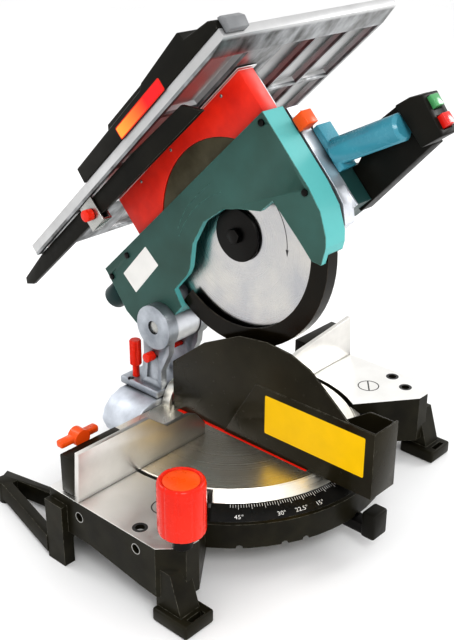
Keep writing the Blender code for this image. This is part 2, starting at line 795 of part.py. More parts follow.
def wing(side):
    """One side of the base: deck, skirt, legs and foot, drawn on the left."""
    outline = wing_outline()
    skirt = spread(SKIRT_SHARES, TURNTABLE_RADIUS, DECK_HEIGHT)
    below = skirt + [(skirt[-1][0], -OVERRUN), (skirt[0][0], -OVERRUN)]
    body = plate("Z", outline, skirt[-1][1], DECK_HEIGHT)
    left, right = -BASE_HALF_WIDTH - FOOT_LEFT, 0
    pocket = plate("Z", inset(outline, BASE_WALL), 0, DECK_HEIGHT - DECK_THICKNESS)
    body = cut(body, pocket, plate("X", below, left, right))
    leg = plate("X", spread(LEG_SHARES, TURNTABLE_RADIUS, DECK_HEIGHT), LEG_INSET - FOOT_LEFT,
                -FOOT_RIGHT - LEG_INSET)
    foot = soften(box((-FOOT_LEFT, -FOOT_RIGHT), (-FOOT_FRONT, -FOOT_BACK), (0, FOOT_HEIGHT)),
                  FOOT_RIM / 2)
    rear_leg = box((-REAR_LEG_LEFT, -REAR_LEG_RIGHT), (REAR_LEG_FRONT, WING_REAR), (0, REAR_LEG_TOP))
    web_back = WING_REAR - BASE_WALL
    web = plate("Y", spread(WEB_SHARES, TURNTABLE_RADIUS, DECK_HEIGHT), web_back - WEB_THICKNESS,
                web_back)
    join(body, leg, foot, rear_leg, web)
    foot_x = -(FOOT_LEFT + FOOT_RIGHT) / 2
    leg_front = LEG_SHARES[1][0] * TURNTABLE_RADIUS
    slot_y = (leg_front - FOOT_FRONT) / 2
    slot = box((foot_x - FOOT_SLOT_LENGTH / 2, foot_x + FOOT_SLOT_LENGTH / 2),
               (slot_y - FOOT_SLOT_HALF_WIDTH, slot_y + FOOT_SLOT_HALF_WIDTH),
               (-OVERRUN, FOOT_HEIGHT + OVERRUN))
    rods = [rod("X", (y, z), ROD_HOLE_RADIUS, left, -BASE_HALF_WIDTH + BASE_WALL + OVERRUN, SLIM_SIDES)
            for y, z in spread(ROD_HOLE_SHARES, TURNTABLE_RADIUS, DECK_HEIGHT)]
    deck_holes = [rod("Z", centre, DECK_HOLE_RADIUS, DECK_HEIGHT - DECK_THICKNESS - OVERRUN,
                      DECK_HEIGHT + OVERRUN, SLIM_SIDES)
                  for centre in spread(DECK_HOLE_SHARES, TURNTABLE_RADIUS)]
    cut(body, slot, *rods, *deck_holes)
    if side < 0:
        stud = rod("Z", (CLAMP_X, CLAMP_Y), CLAMP_STUD_RADIUS + GAP,
                   DECK_HEIGHT - CLAMP_STUD_LENGTH - OVERRUN,
                   DECK_HEIGHT + OVERRUN, SLIM_SIDES)
        return cut(body, stud)
    return mirrored(body)


def ring_sector(profile, half_angle, steps=RING_SIDES):
    """A ring about the turntable's axis, kept only in a fan about the front."""
    ring = turned("Z", (0, 0), profile, steps)
    reach = 2 * RING_OUTER_RADIUS
    return cut(ring, plate("Z", fan(math.degrees(half_angle), reach), -reach, reach))


def base_casting():
    shelf_inner = TURNTABLE_RADIUS + OVERRUN
    wall_inner = RING_OUTER_RADIUS - RING_WALL
    ring = ring_sector([
        (RING_OUTER_RADIUS, RING_WALL_TOP), (RING_OUTER_RADIUS, RING_WALL_BOTTOM),
        (wall_inner, RING_WALL_BOTTOM),
        (wall_inner, RING_SHELF_BOTTOM), (shelf_inner, RING_SHELF_BOTTOM), (shelf_inner, RING_SHELF_TOP),
        (wall_inner, RING_SHELF_TOP), (wall_inner, RING_WALL_TOP)], RING_HALF_ANGLE)
    hub = rod("Z", (0, 0), HUB_RADIUS, HUB_BOTTOM, HUB_TOP, WIDE_SIDES)
    reach = WING_OPENING_RADIUS + BASE_WALL / 2
    spokes = box((-reach, reach), (-SPOKE_HALF_WIDTH, SPOKE_HALF_WIDTH), (HUB_BOTTOM, HUB_TOP))
    body = join(wing(-1), wing(1), ring, hub, spokes)
    notches = []
    for angle in NOTCH_ANGLES:
        turn = math.radians(angle)
        notch = rod("Y", (0, RING_WALL_BOTTOM), NOTCH_RADIUS, -RING_OUTER_RADIUS - OVERRUN,
                    OVERRUN - wall_inner, NOTCH_SIDES)
        notch.data.transform(Matrix.Rotation(turn, MATRIX_ROWS, "Z"))
        notches.append(notch)
    bore = rod("Z", (0, 0), TABLE_BOLT_RADIUS + RUNNING_GAP, 0, DECK_HEIGHT, ROUND_SIDES)
    cut(body, bore, *notches)
    return finish(body, "base_casting", MACHINE, "black_paint")


def scale_rings():
    inner = TURNTABLE_RADIUS + RUNNING_GAP
    seat = RING_SHELF_TOP + GAP
    band_low = DECK_HEIGHT - BEVEL_RING_DROP
    band = ring_sector([
        (inner, DECK_HEIGHT), (BEVEL_RING_OUTER_RADIUS, band_low), (BEVEL_RING_OUTER_RADIUS, seat),
        (inner, seat)],
        RING_VIEW_HALF_ANGLE)
    finish(band, "bevelled_ring", MACHINE, "machined")
    start = BEVEL_RING_OUTER_RADIUS + GAP
    scale = ring_sector([
        (start, band_low), (SCALE_OUTER_RADIUS, DECK_HEIGHT - SCALE_DROP), (SCALE_OUTER_RADIUS, seat),
        (start, seat)],
        RING_VIEW_HALF_ANGLE)
    finish(scale, "mitre_scale", MACHINE, "scale_black")


def outrigger(side, name):
    """The triangular steadying frame bolted to one rear corner of the base."""
    outer = spread(OUTRIGGER_SHARES, TURNTABLE_RADIUS)
    front = WING_REAR + GAP
    outer[0] = (outer[0][0], front)
    outer[-1] = (outer[-1][0], front)
    hole = spread(OUTRIGGER_HOLE_SHARES, TURNTABLE_RADIUS)
    body = plate("Z", outer, OUTRIGGER_BOTTOM, OUTRIGGER_TOP, [hole])
    pad = rod("Z", spread(OUTRIGGER_PAD_SHARES, TURNTABLE_RADIUS)[0], OUTRIGGER_PAD_RADIUS, 0,
              OUTRIGGER_TOP, ROUND_SIDES)
    lug = box((-BASE_HALF_WIDTH, -WING_STEP_X - OUTRIGGER_LUG_LENGTH),
              (front, front + OUTRIGGER_LUG_LENGTH),
              (OUTRIGGER_BOTTOM, OUTRIGGER_LUG_TOP))
    join(body, pad, lug)
    if side > 0:
        mirrored(body)
    finish(body, name, MACHINE, "black_paint")


def table_bolt():
    shank_top = HUB_TOP + TABLE_BOLT_REACH
    head_top = HUB_BOTTOM - GAP
    head = rod("Z", (0, 0), TABLE_BOLT_HEAD_RADIUS, head_top - TABLE_BOLT_HEAD_HEIGHT, head_top,
               HEX_SIDES)
    shank = rod("Z", (0, 0), TABLE_BOLT_RADIUS, head_top - TABLE_BOLT_HEAD_HEIGHT / 2, shank_top,
                ROUND_SIDES)
    finish(join(head, shank), "turntable_bolt", MACHINE, "zinc")


def fluted(axis, centre, radius, low, high, flutes, flute_radius, sides=BROAD_SIDES):
    """A round knob with grooves down its side."""
    knob = soften(rod(axis, centre, radius, low, high, sides), flute_radius / 2, 1)
    grooves = [rod(axis, place, flute_radius, low - OVERRUN, high + OVERRUN, NOTCH_SIDES)
               for place in arc(centre, radius + flute_radius * FLUTE_OUT_SHARE, 0,
                                FULL_TURN - FULL_TURN / flutes, flutes - 1)]
    return cut(knob, *grooves)


def clamp_knob():
    centre = (CLAMP_X, CLAMP_Y)
    neck_low = DECK_HEIGHT + GAP
    knob_low = neck_low + CLAMP_NECK_HEIGHT
    knob = fluted("Z", centre, CLAMP_KNOB_RADIUS, knob_low, knob_low + CLAMP_KNOB_HEIGHT, CLAMP_FLUTES,
                  CLAMP_FLUTE_RADIUS)
    neck = rod("Z", centre, CLAMP_NECK_RADIUS, neck_low, knob_low + OVERRUN, ROUND_SIDES)
    stud = rod("Z", centre, CLAMP_STUD_RADIUS, DECK_HEIGHT - CLAMP_STUD_LENGTH, knob_low, THIN_SIDES)
    finish(join(knob, neck, stud), "clamp_knob", MACHINE, "red_plastic", pivot=(*centre, DECK_HEIGHT))


def turntable():
    top = DECK_HEIGHT
    skin = top - TURNTABLE_TOP_THICKNESS
    rim = TURNTABLE_RADIUS - TURNTABLE_RIM
    boss_low = HUB_TOP + RUNNING_GAP
    body = turned("Z", (0, 0), [
        (0, top), (TURNTABLE_RADIUS - TURNTABLE_EDGE, top), (TURNTABLE_RADIUS, top - TURNTABLE_EDGE),
        (TURNTABLE_RADIUS, TURNTABLE_RIM_BOTTOM), (rim, TURNTABLE_RIM_BOTTOM), (rim, skin),
        (TURNTABLE_BOSS_RADIUS, skin), (TURNTABLE_BOSS_RADIUS, boss_low), (0, boss_low)], RING_SIDES)
    reach = 2 * TURNTABLE_RADIUS
    cut(body, box((-reach, reach), (TURNTABLE_CUT_Y, reach), (0, reach)))
    wall = box((-PIVOT_WALL_HALF_WIDTH, PIVOT_WALL_HALF_WIDTH), (PIVOT_WALL_FRONT, TURNTABLE_CUT_Y),
               (PIVOT_WALL_BOTTOM, skin + OVERRUN))
    boss = rod("Y", (0, DECK_HEIGHT), PIVOT_BOSS_RADIUS, PIVOT_WALL_FRONT, TURNTABLE_CUT_Y, BROAD_SIDES)
    lock_rail = box((-LOCK_ARM_HALF_WIDTH, LOCK_ARM_HALF_WIDTH),
                    (LOCK_ARM_BACK - LOCK_BLOCK_LENGTH, LOCK_ARM_BACK),
                    (LOCK_ARM_TOP + GAP, skin + OVERRUN))
    join(body, wall, boss, lock_rail)
    bolt = rod("Z", (0, 0), TABLE_BOLT_RADIUS + RUNNING_GAP, 0, HUB_TOP + TABLE_BOLT_REACH + OVERRUN,
               ROUND_SIDES)
    pin = rod("Y", (0, DECK_HEIGHT), PIVOT_PIN_RADIUS + RUNNING_GAP, 0, reach, ROUND_SIDES)
    seat = box((INSERT_LEFT - GAP, INSERT_RIGHT + GAP), (INSERT_FRONT - GAP, INSERT_BACK + GAP),
               (top - INSERT_THICKNESS - GAP, top + OVERRUN))
    kerf = box((BLADE_LEFT - KERF_HALF_WIDTH, BLADE_LEFT + BLADE_THICKNESS + KERF_HALF_WIDTH),
               (KERF_FRONT, KERF_BACK), (TURNTABLE_RIM_BOTTOM, top))
    cut(body, bolt, pin, seat, kerf)
    finish(body, "turntable", MITRE, "machined")


def kerf_insert():
    top = DECK_HEIGHT
    plate_body = box((INSERT_LEFT, INSERT_RIGHT), (INSERT_FRONT, INSERT_BACK),
                     (top - INSERT_THICKNESS, top))
    middle = BLADE_LEFT + BLADE_THICKNESS / 2
    kerf = box((middle - KERF_HALF_WIDTH, middle + KERF_HALF_WIDTH), (KERF_FRONT, KERF_BACK),
               (top - INSERT_THICKNESS - OVERRUN, top + OVERRUN))
    finish(cut(plate_body, kerf), "kerf_insert", MITRE, "red_plastic")


def mitre_lock():
    arm = box((-LOCK_ARM_HALF_WIDTH, LOCK_ARM_HALF_WIDTH), (LOCK_ARM_FRONT, LOCK_ARM_BACK),
              (LOCK_ARM_BOTTOM, LOCK_ARM_TOP))
    finish(soften(arm, TURNTABLE_EDGE), "lock_arm", MITRE, "dark_steel")
    front = LOCK_ARM_FRONT - GAP
    grip = box((-LOCK_GRIP_HALF_WIDTH, LOCK_GRIP_HALF_WIDTH), (front - LOCK_GRIP_LENGTH, front),
               (LOCK_ARM_BOTTOM, LOCK_GRIP_TOP))
    finish(soften(grip, TURNTABLE_RIM / 2), "lock_grip", MITRE, "black_plastic")


def lower_cover():
    """The cover over the lower half of the blade, hooked along its left foot."""
    sill = DECK_HEIGHT + GAP
    right = COVER_LEFT + COVER_WIDTH
    inner_left = COVER_LEFT + COVER_WALL
    inner_right = right - COVER_WALL
    step = COVER_LEFT + COVER_BOX_STEP
    box_side = spread(COVER_BOX_SHARES, BLADE_RADIUS, base=sill)
    front, back = box_side[0][0], COVER_REAR_SHARE * BLADE_RADIUS
    left_wall = plate("X", spread(COVER_LEFT_WALL_SHARES, BLADE_RADIUS, base=sill), step,
                      inner_left + COVER_BOX_STEP)
    box_wall = plate("X", box_side, COVER_LEFT, inner_left + COVER_BOX_STEP)
    right_wall = plate("X", spread(COVER_RIGHT_WALL_SHARES, BLADE_RADIUS, base=sill), inner_right, right)
    front_wall = box((COVER_LEFT, right), (front, front + COVER_WALL), (sill, box_side[2][1]))
    floor = box((COVER_LEFT, right), (front, COVER_FLOOR_BACK_SHARE * BLADE_RADIUS),
                (sill, sill + COVER_WALL))
    strap = box((step, right), (back - COVER_STRAP_LENGTH, back), (sill, sill + COVER_WALL))
    body = join(left_wall, box_wall, right_wall, front_wall, floor, strap)
    finish(body, "lower_cover", MITRE, "black_plastic", pivot=(COVER_LEFT, 0, sill))


def fence(side, shares, frame_height, name, look="machined"):
    face = plate("Y", spread(shares, TURNTABLE_RADIUS, DECK_HEIGHT, DECK_HEIGHT), 0, FENCE_FACE_THICKNESS)
    finish(face, name, MACHINE, look)
    front = FENCE_FACE_THICKNESS + GAP
    low = DECK_HEIGHT + GAP
    frame = box((-FRAME_OUTER, -FRAME_INNER), (front, front + FRAME_DEPTH),
                (low, DECK_HEIGHT + frame_height))
    hollow = box((FRAME_WALL - FRAME_OUTER, -FRAME_INNER - FRAME_WALL),
                 (front + FRAME_WALL, 2 * FRAME_DEPTH),
                 (low + FRAME_WALL, DECK_HEIGHT + frame_height - FRAME_WALL))
    cut(frame, hollow)
    if side > 0:
        mirrored(frame)
    finish(frame, name + "_frame", MACHINE, "black_paint")


def wing_knob():
    height = DECK_HEIGHT + WING_KNOB_ABOVE_DECK
    centre = (WING_KNOB_X, height)
    front = FENCE_FACE_THICKNESS + GAP + FRAME_DEPTH + GAP
    back = front + WING_KNOB_LENGTH
    hub = rod("Y", centre, WING_KNOB_HUB_RADIUS, front, back, ROUND_SIDES)
    span, half = WING_KNOB_SPAN, WING_KNOB_THICKNESS / 2
    wings = box((WING_KNOB_X - span, WING_KNOB_X + span), (front + WING_KNOB_THICKNESS / 2, back),
                (height - half, height + half))
    knob = join(hub, soften(wings, half / 2))
    finish(knob, "wing_knob", MACHINE, "orange_plastic", pivot=(WING_KNOB_X, front, height))


def tilt_arm():
    arm = plate("Y", spread(ARM_SHARES, TURNTABLE_RADIUS, DECK_HEIGHT), ARM_FRONT, ARM_BACK)
    soften(arm, FLANGE_THICKNESS / 2)
    bore = rod("Y", (0, DECK_HEIGHT), PIVOT_PIN_RADIUS + RUNNING_GAP, 0, 2 * ARM_BACK, ROUND_SIDES)
    bolts = [rod("Z", (side * FLANGE_BOLT_X, FLANGE_BOLT_Y), FLANGE_BOLT_RADIUS + GAP,
                 ARM_TOP - FLANGE_THICKNESS - OVERRUN,
                 ARM_TOP + OVERRUN, THIN_SIDES) for side in (-1, 1)]
    finish(cut(arm, bore, *bolts), "tilt_arm", BEVEL, "cast_light")


def bevel_pin():
    axis = (0, DECK_HEIGHT)
    nut_front = ARM_BACK + GAP
    shank = rod("Y", axis, PIVOT_PIN_RADIUS, PIVOT_WALL_FRONT, nut_front + OVERRUN, ROUND_SIDES)
    nut = rod("Y", axis, PIVOT_NUT_RADIUS, nut_front, nut_front + PIVOT_NUT_LENGTH, HEX_SIDES)
    finish(join(shank, nut), "bevel_pivot_bolt", BEVEL, "zinc", pivot=(0, 0, DECK_HEIGHT))


def hinge_bracket():
    low = ARM_TOP + GAP
    top = low + FLANGE_THICKNESS
    flange = soften(box((-FLANGE_HALF_WIDTH, FLANGE_HALF_WIDTH), (ARM_FRONT, FLANGE_BACK), (low, top)),
                    OVERRUN)
    posts, windows = [], []
    outline = spread(POST_SHARES, TURNTABLE_RADIUS, DECK_HEIGHT)
    for side in (-1, 1):
        ends = sorted((side * POST_LEFT, side * (HINGE_EYE_INNER + RUNNING_GAP)))
        eye_ends = sorted((side * HINGE_EYE_OUTER, side * HINGE_EYE_INNER))
        posts.append(plate("X", outline, *ends))
        posts.append(rod("X", HINGE, HINGE_EYE_RADIUS, *eye_ends, BROAD_SIDES))
        window_ends = sorted((side * (POST_LEFT + OVERRUN), side * (POST_LEFT - POST_WINDOW_DEPTH)))
        windows.append(plate("X", spread(POST_WINDOW_SHARES, TURNTABLE_RADIUS, DECK_HEIGHT),
                             *window_ends))
    body = join(flange, *posts)
    bore = rod("X", HINGE, HINGE_PIN_RADIUS + RUNNING_GAP, -FLANGE_BACK, FLANGE_BACK, ROUND_SIDES)
    bolts = [rod("Z", (side * FLANGE_BOLT_X, FLANGE_BOLT_Y), FLANGE_BOLT_RADIUS + GAP, low - OVERRUN,
                 top + OVERRUN, THIN_SIDES)
             for side in (-1, 1)]
    stud = rod("Z", (BEVEL_STUD_X, BEVEL_STUD_Y), BEVEL_STUD_RADIUS + GAP, low + OVERRUN, top + OVERRUN,
               THIN_SIDES)
    pin = rod("X", (LOCK_PIN_Y, LOCK_PIN_HEIGHT), LOCK_PIN_RADIUS + RUNNING_GAP, -POST_LEFT - OVERRUN,
              POST_LEFT + OVERRUN, THIN_SIDES)
    cut(body, bore, *windows, *bolts, stud, pin)
    finish(body, "hinge_bracket", BEVEL, "cast_light")
    for side, name in ((-1, "flange_bolt_left"), (1, "flange_bolt_right")):
        centre = (side * FLANGE_BOLT_X, FLANGE_BOLT_Y)
        shank = rod("Z", centre, FLANGE_BOLT_RADIUS, ARM_TOP - FLANGE_THICKNESS, top - OVERRUN,
                    THIN_SIDES)
        finish(shank, name, BEVEL, "dark_steel")


def bevel_lock():
    """The lobed knob on its stud, which clamps the bevel setting."""
    centre = (BEVEL_STUD_X, BEVEL_STUD_Y)
    top = ARM_TOP + GAP + FLANGE_THICKNESS
    knob_low = top + BEVEL_STUD_LENGTH
    knob = fluted("Z", centre, BEVEL_KNOB_RADIUS, knob_low, knob_low + BEVEL_KNOB_HEIGHT,
                  BEVEL_KNOB_FLUTES,
                  BEVEL_KNOB_FLUTE_RADIUS, ROUND_SIDES)
    stud = rod("Z", centre, BEVEL_STUD_RADIUS, ARM_TOP + GAP + OVERRUN + GAP, knob_low + OVERRUN,
               THIN_SIDES)
    finish(join(knob, stud), "bevel_lock_knob", BEVEL, "red_plastic", pivot=(*centre, top))


def hinge_parts():
    pin_end = SPRING_START + SPRING_COILS * SPRING_PITCH
    pin = rod("X", HINGE, HINGE_PIN_RADIUS, OVERRUN - HINGE_EYE_OUTER, pin_end, ROUND_SIDES)
    finish(pin, "hinge_pin", BEVEL, "zinc", pivot=(0, *HINGE))
    shank_left = -POST_LEFT - LOCK_PIN_KNOB_LENGTH
    axis = (LOCK_PIN_Y, LOCK_PIN_HEIGHT)
    shank = rod("X", axis, LOCK_PIN_RADIUS, shank_left, POST_LEFT, THIN_SIDES)
    knob = rod("X", axis, LOCK_PIN_KNOB_RADIUS, shank_left, -POST_LEFT - GAP, SLIM_SIDES)
    finish(join(knob, shank), "transport_lock_pin", BEVEL, "red_plastic")
    count = SPRING_COILS * SPRING_POINTS_PER_COIL
    route = []
    for step in range(count + 1):
        angle = math.tau * step / SPRING_POINTS_PER_COIL
        route.append((SPRING_START + SPRING_PITCH * step / SPRING_POINTS_PER_COIL,
                      HINGE_Y + SPRING_RADIUS * math.cos(angle),
                      HINGE_HEIGHT + SPRING_RADIUS * math.sin(angle)))
    first, last = route[0], route[-1]
    route.insert(0, (first[0], first[1], first[2] - SPRING_LEG))
    route.append((last[0], last[1], last[2] + SPRING_LEG))
    finish(tube(route, SPRING_WIRE_RADIUS, 1), "return_spring", BEVEL, "dark_steel")
    print("return spring, least gap between turns (m):",
          round(SPRING_PITCH - 2 * SPRING_WIRE_RADIUS, DIGITS))


def head_casting():
    right = CASTING_LEFT + CASTING_THICKNESS
    outline = spread(CASTING_SHARES, BLADE_RADIUS)
    front = outline[0][0]
    body = plate("X", outline, CASTING_LEFT, right)
    band = box((right - OVERRUN, BAND_BLOCK_RIGHT), (front, BAND_BLOCK_BACK_SHARE * BLADE_RADIUS),
               (BAND_BLOCK_BOTTOM_SHARE * BLADE_RADIUS, BAND_BLOCK_TOP_SHARE * BLADE_RADIUS))
    block = box((right - OVERRUN, HANDLE_BLOCK_RIGHT),
                (HANDLE_BLOCK_FRONT_SHARE * BLADE_RADIUS, HANDLE_BLOCK_BACK_SHARE * BLADE_RADIUS),
                (BAND_BLOCK_BOTTOM_SHARE * BLADE_RADIUS, BAND_BLOCK_TOP_SHARE * BLADE_RADIUS))
    link = plate("X", spread(LINK_SHARES, BLADE_RADIUS), LINK_LEFT, right - OVERRUN)
    body = join(body, band, block, link)
    eye_room = rod("X", HINGE_IN_HEAD, HINGE_EYE_RADIUS + EYE_ROOM_GAP, BARREL_HALF_LENGTH,
                   HANDLE_BLOCK_RIGHT, BROAD_SIDES)
    cut(body, eye_room)
    join(body, rod("X", HINGE_IN_HEAD, BARREL_RADIUS, -BARREL_HALF_LENGTH, BARREL_HALF_LENGTH,
                   BROAD_SIDES))
    bore = rod("X", HINGE_IN_HEAD, HINGE_PIN_RADIUS + RUNNING_GAP, -HINGE_BACK, HINGE_BACK, ROUND_SIDES)
    nose = rod("X", BLADE_AXIS, NOSE_RADIUS + GAP, 0, HINGE_BACK, BROAD_SIDES)
    top = outline[0][1] + OVERRUN
    guides = [rod("Z", (ROD_X, y), ROD_RADIUS + RUNNING_GAP, z - TABLE_TRAVEL - OVERRUN, top, ROUND_SIDES)
              for y, z in spread(ROD_SHARES, BLADE_RADIUS)]
    stem_z = (RELEASE_BOTTOM_SHARE * BLADE_RADIUS) + RELEASE_SIZE / 2
    stem = rod("Y", (RELEASE_STEM_X, stem_z), RELEASE_STEM_RADIUS + RUNNING_GAP, front - OVERRUN,
               front + RELEASE_STEM_LENGTH + OVERRUN, THIN_SIDES)
    cut(body, bore, nose, *guides, stem)
    finish(body, "head_casting", HEAD, "cast_light")


def green_cover():
    outline = spread(GREEN_SHARES, BLADE_RADIUS)
    right = GREEN_LEFT + GREEN_WIDTH
    inner_left = GREEN_LEFT + GREEN_WALL
    body = plate("X", outline, GREEN_LEFT, right)
    pocket = plate("X", inset(outline, GREEN_WALL), inner_left, right + OVERRUN)
    top = max(point[1] for point in outline)
    hood_room = box((inner_left, right + OVERRUN),
                    (HOOD_SLOT_FRONT_SHARE * BLADE_RADIUS, HOOD_SLOT_BACK_SHARE * BLADE_RADIUS),
                    (top - 2 * GREEN_WALL, top + OVERRUN))
    guard_room = rod("X", BLADE_AXIS, GUARD_RADIUS + 2 * RUNNING_GAP, GREEN_LEFT + GREEN_RIM_DEPTH,
                     right + OVERRUN, LARGE_SIDES)
    hinge_room = rod("X", HINGE_IN_HEAD, BARREL_RADIUS + 2 * RUNNING_GAP, GREEN_LEFT - OVERRUN,
                     right + OVERRUN, BROAD_SIDES)
    port_z = PORT_Z_SHARE * BLADE_RADIUS
    port = rod("Y", (PORT_X, port_z), PORT_RADIUS - 2 * PORT_WALL, HOOD_SLOT_BACK_SHARE * BLADE_RADIUS,
               2 * BLADE_RADIUS, ROUND_SIDES)
    cut(body, pocket, hood_room, guard_room, hinge_room, port)
    centres = spread(GREEN_SCREW_SHARES, BLADE_RADIUS)
    boss_right = HOOD_LEFT - RUNNING_GAP
    bosses = [rod("X", centre, BOSS_RADIUS, inner_left - OVERRUN / 2, boss_right,
                  THIN_SIDES) for centre in centres]
    join(body, *bosses)
    hole_end = GREEN_LEFT + SCREW_LENGTH + GAP
    cut(body, *[rod("X", centre, SCREW_RADIUS + GAP, GREEN_LEFT - OVERRUN, hole_end,
                    SMALL_SIDES) for centre in centres])
    finish(body, "green_cover", HEAD, "green_plastic")
    for number, centre in enumerate(centres, 1):
        head = rod("X", centre, SCREW_HEAD_RADIUS, GREEN_LEFT - GAP - SCREW_HEAD_HEIGHT,
                   GREEN_LEFT - GAP, THIN_SIDES)
        shank = rod("X", centre, SCREW_RADIUS, GREEN_LEFT - SCREW_HEAD_HEIGHT, GREEN_LEFT + SCREW_LENGTH,
                    SMALL_SIDES)
        finish(join(head, shank), f"cover_screw_{number}", HEAD, "dark_steel")


def inner_disc():
    """The dark plate that fills the upper part of the round window in the blade hood."""
    radius = HOOD_WINDOW_SHARE * BLADE_RADIUS - GAP
    bottom = DISC_BOTTOM_SHARE * BLADE_RADIUS
    disc = rod("X", BLADE_AXIS, radius, DISC_LEFT, DISC_LEFT + DISC_THICKNESS, HOOD_WINDOW_SIDES)
    lower = box((DISC_LEFT - OVERRUN, DISC_LEFT + DISC_THICKNESS + OVERRUN),
                (-BLADE_RADIUS, BLADE_RADIUS),
                (-BLADE_RADIUS, bottom))
    finish(cut(disc, lower), "inner_disc", HEAD, "black_paint")


def dust_port():
    z = PORT_Z_SHARE * BLADE_RADIUS
    front = PORT_FRONT_SHARE * BLADE_RADIUS
    back = front + PORT_LENGTH
    body = turned("Y", (PORT_X, z), [
        (PORT_RADIUS, back), (PORT_RADIUS, front), (PORT_RADIUS - PORT_WALL, front),
        (PORT_RADIUS - PORT_WALL, back)], PROFILE_SIDES)
    finish(body, "dust_port", HEAD, "green_plastic")


def lower_guard():
    opening = GUARD_OPENING_SHARE * BLADE_RADIUS
    rim = GUARD_RADIUS - GUARD_RIM
    inner_right = GUARD_RIGHT - GUARD_RIM
    ring = turned("X", BLADE_AXIS, [
        (GUARD_RADIUS, GUARD_RIGHT), (GUARD_RADIUS, GUARD_LEFT), (opening, GUARD_LEFT),
        (opening, GUARD_LEFT + GUARD_PLATE),
        (rim, GUARD_LEFT + GUARD_PLATE), (rim, inner_right), (GUARD_HUB_RADIUS - OVERRUN, inner_right),
        (GUARD_HUB_RADIUS - OVERRUN, GUARD_RIGHT)], LARGE_SIDES)
    reach = 2 * GUARD_RADIUS
    start, end = math.degrees(GUARD_START), math.degrees(GUARD_END)
    rest = [(0, 0)] + arc((0, 0), reach, end, start + FULL_TURN, GUARD_REST_STEPS)
    cut(ring, plate("X", rest, -reach, reach))
    hub = turned("X", BLADE_AXIS, [
        (GUARD_HUB_RADIUS, GUARD_HUB_RIGHT), (GUARD_HUB_RADIUS, inner_right),
        (NOSE_RADIUS + RUNNING_GAP, inner_right),
        (NOSE_RADIUS + RUNNING_GAP, GUARD_HUB_RIGHT)], HUB_SIDES)
    finish(join(ring, hub), "lower_guard", HEAD, "guard_plastic")


def saw_blade():
    outline = []
    for tooth in range(BLADE_TEETH):
        pitch = math.tau / BLADE_TEETH
        angle = pitch * tooth
        for along, down in TOOTH_SHARES:
            turn = angle + pitch * along
            radius = BLADE_RADIUS - TOOTH_DEPTH * down
            outline.append((radius * math.cos(turn), radius * math.sin(turn)))
    bore = arc((0, 0), BLADE_BORE_RADIUS, 0, FULL_TURN - FULL_TURN / ROUND_SIDES, ROUND_SIDES - 1)
    blade = plate("X", outline, BLADE_LEFT, BLADE_LEFT + BLADE_THICKNESS, [bore])
    finish(blade, "saw_blade", HEAD, "blade_steel")


def arbor_parts():
    flange_right = BLADE_LEFT - GAP
    flange_left = flange_right - ARBOR_FLANGE_THICKNESS
    flange = rod("X", BLADE_AXIS, FLANGE_RADIUS, flange_left, flange_right, BROAD_SIDES)
    finish(soften(flange, TURNTABLE_EDGE, 1), "outer_flange", HEAD, "dark_steel")
    bolt = rod("X", BLADE_AXIS, ARBOR_BOLT_RADIUS, flange_left - GAP - ARBOR_BOLT_LENGTH,
               flange_left - GAP, HEX_SIDES)
    finish(bolt, "arbor_bolt", HEAD, "dark_steel")
    blade_right = BLADE_LEFT + BLADE_THICKNESS
    arbor = rod("X", BLADE_AXIS, ARBOR_RADIUS, BLADE_LEFT, ARBOR_RIGHT, ROUND_SIDES)
    inner = rod("X", BLADE_AXIS, INNER_FLANGE_RADIUS, blade_right + GAP, INNER_FLANGE_RIGHT, BROAD_SIDES)
    gear = rod("X", BLADE_AXIS, GEAR_RADIUS, GEAR_LEFT, GEAR_LEFT + GEAR_WIDTH, WIDE_SIDES)
    finish(join(arbor, inner, gear), "arbor_and_gear", HEAD, "zinc")


def motor_centre():
    apart = GEAR_RADIUS + PINION_RADIUS + RUNNING_GAP
    return (MOTOR_Y, math.sqrt(apart * apart - MOTOR_Y * MOTOR_Y))


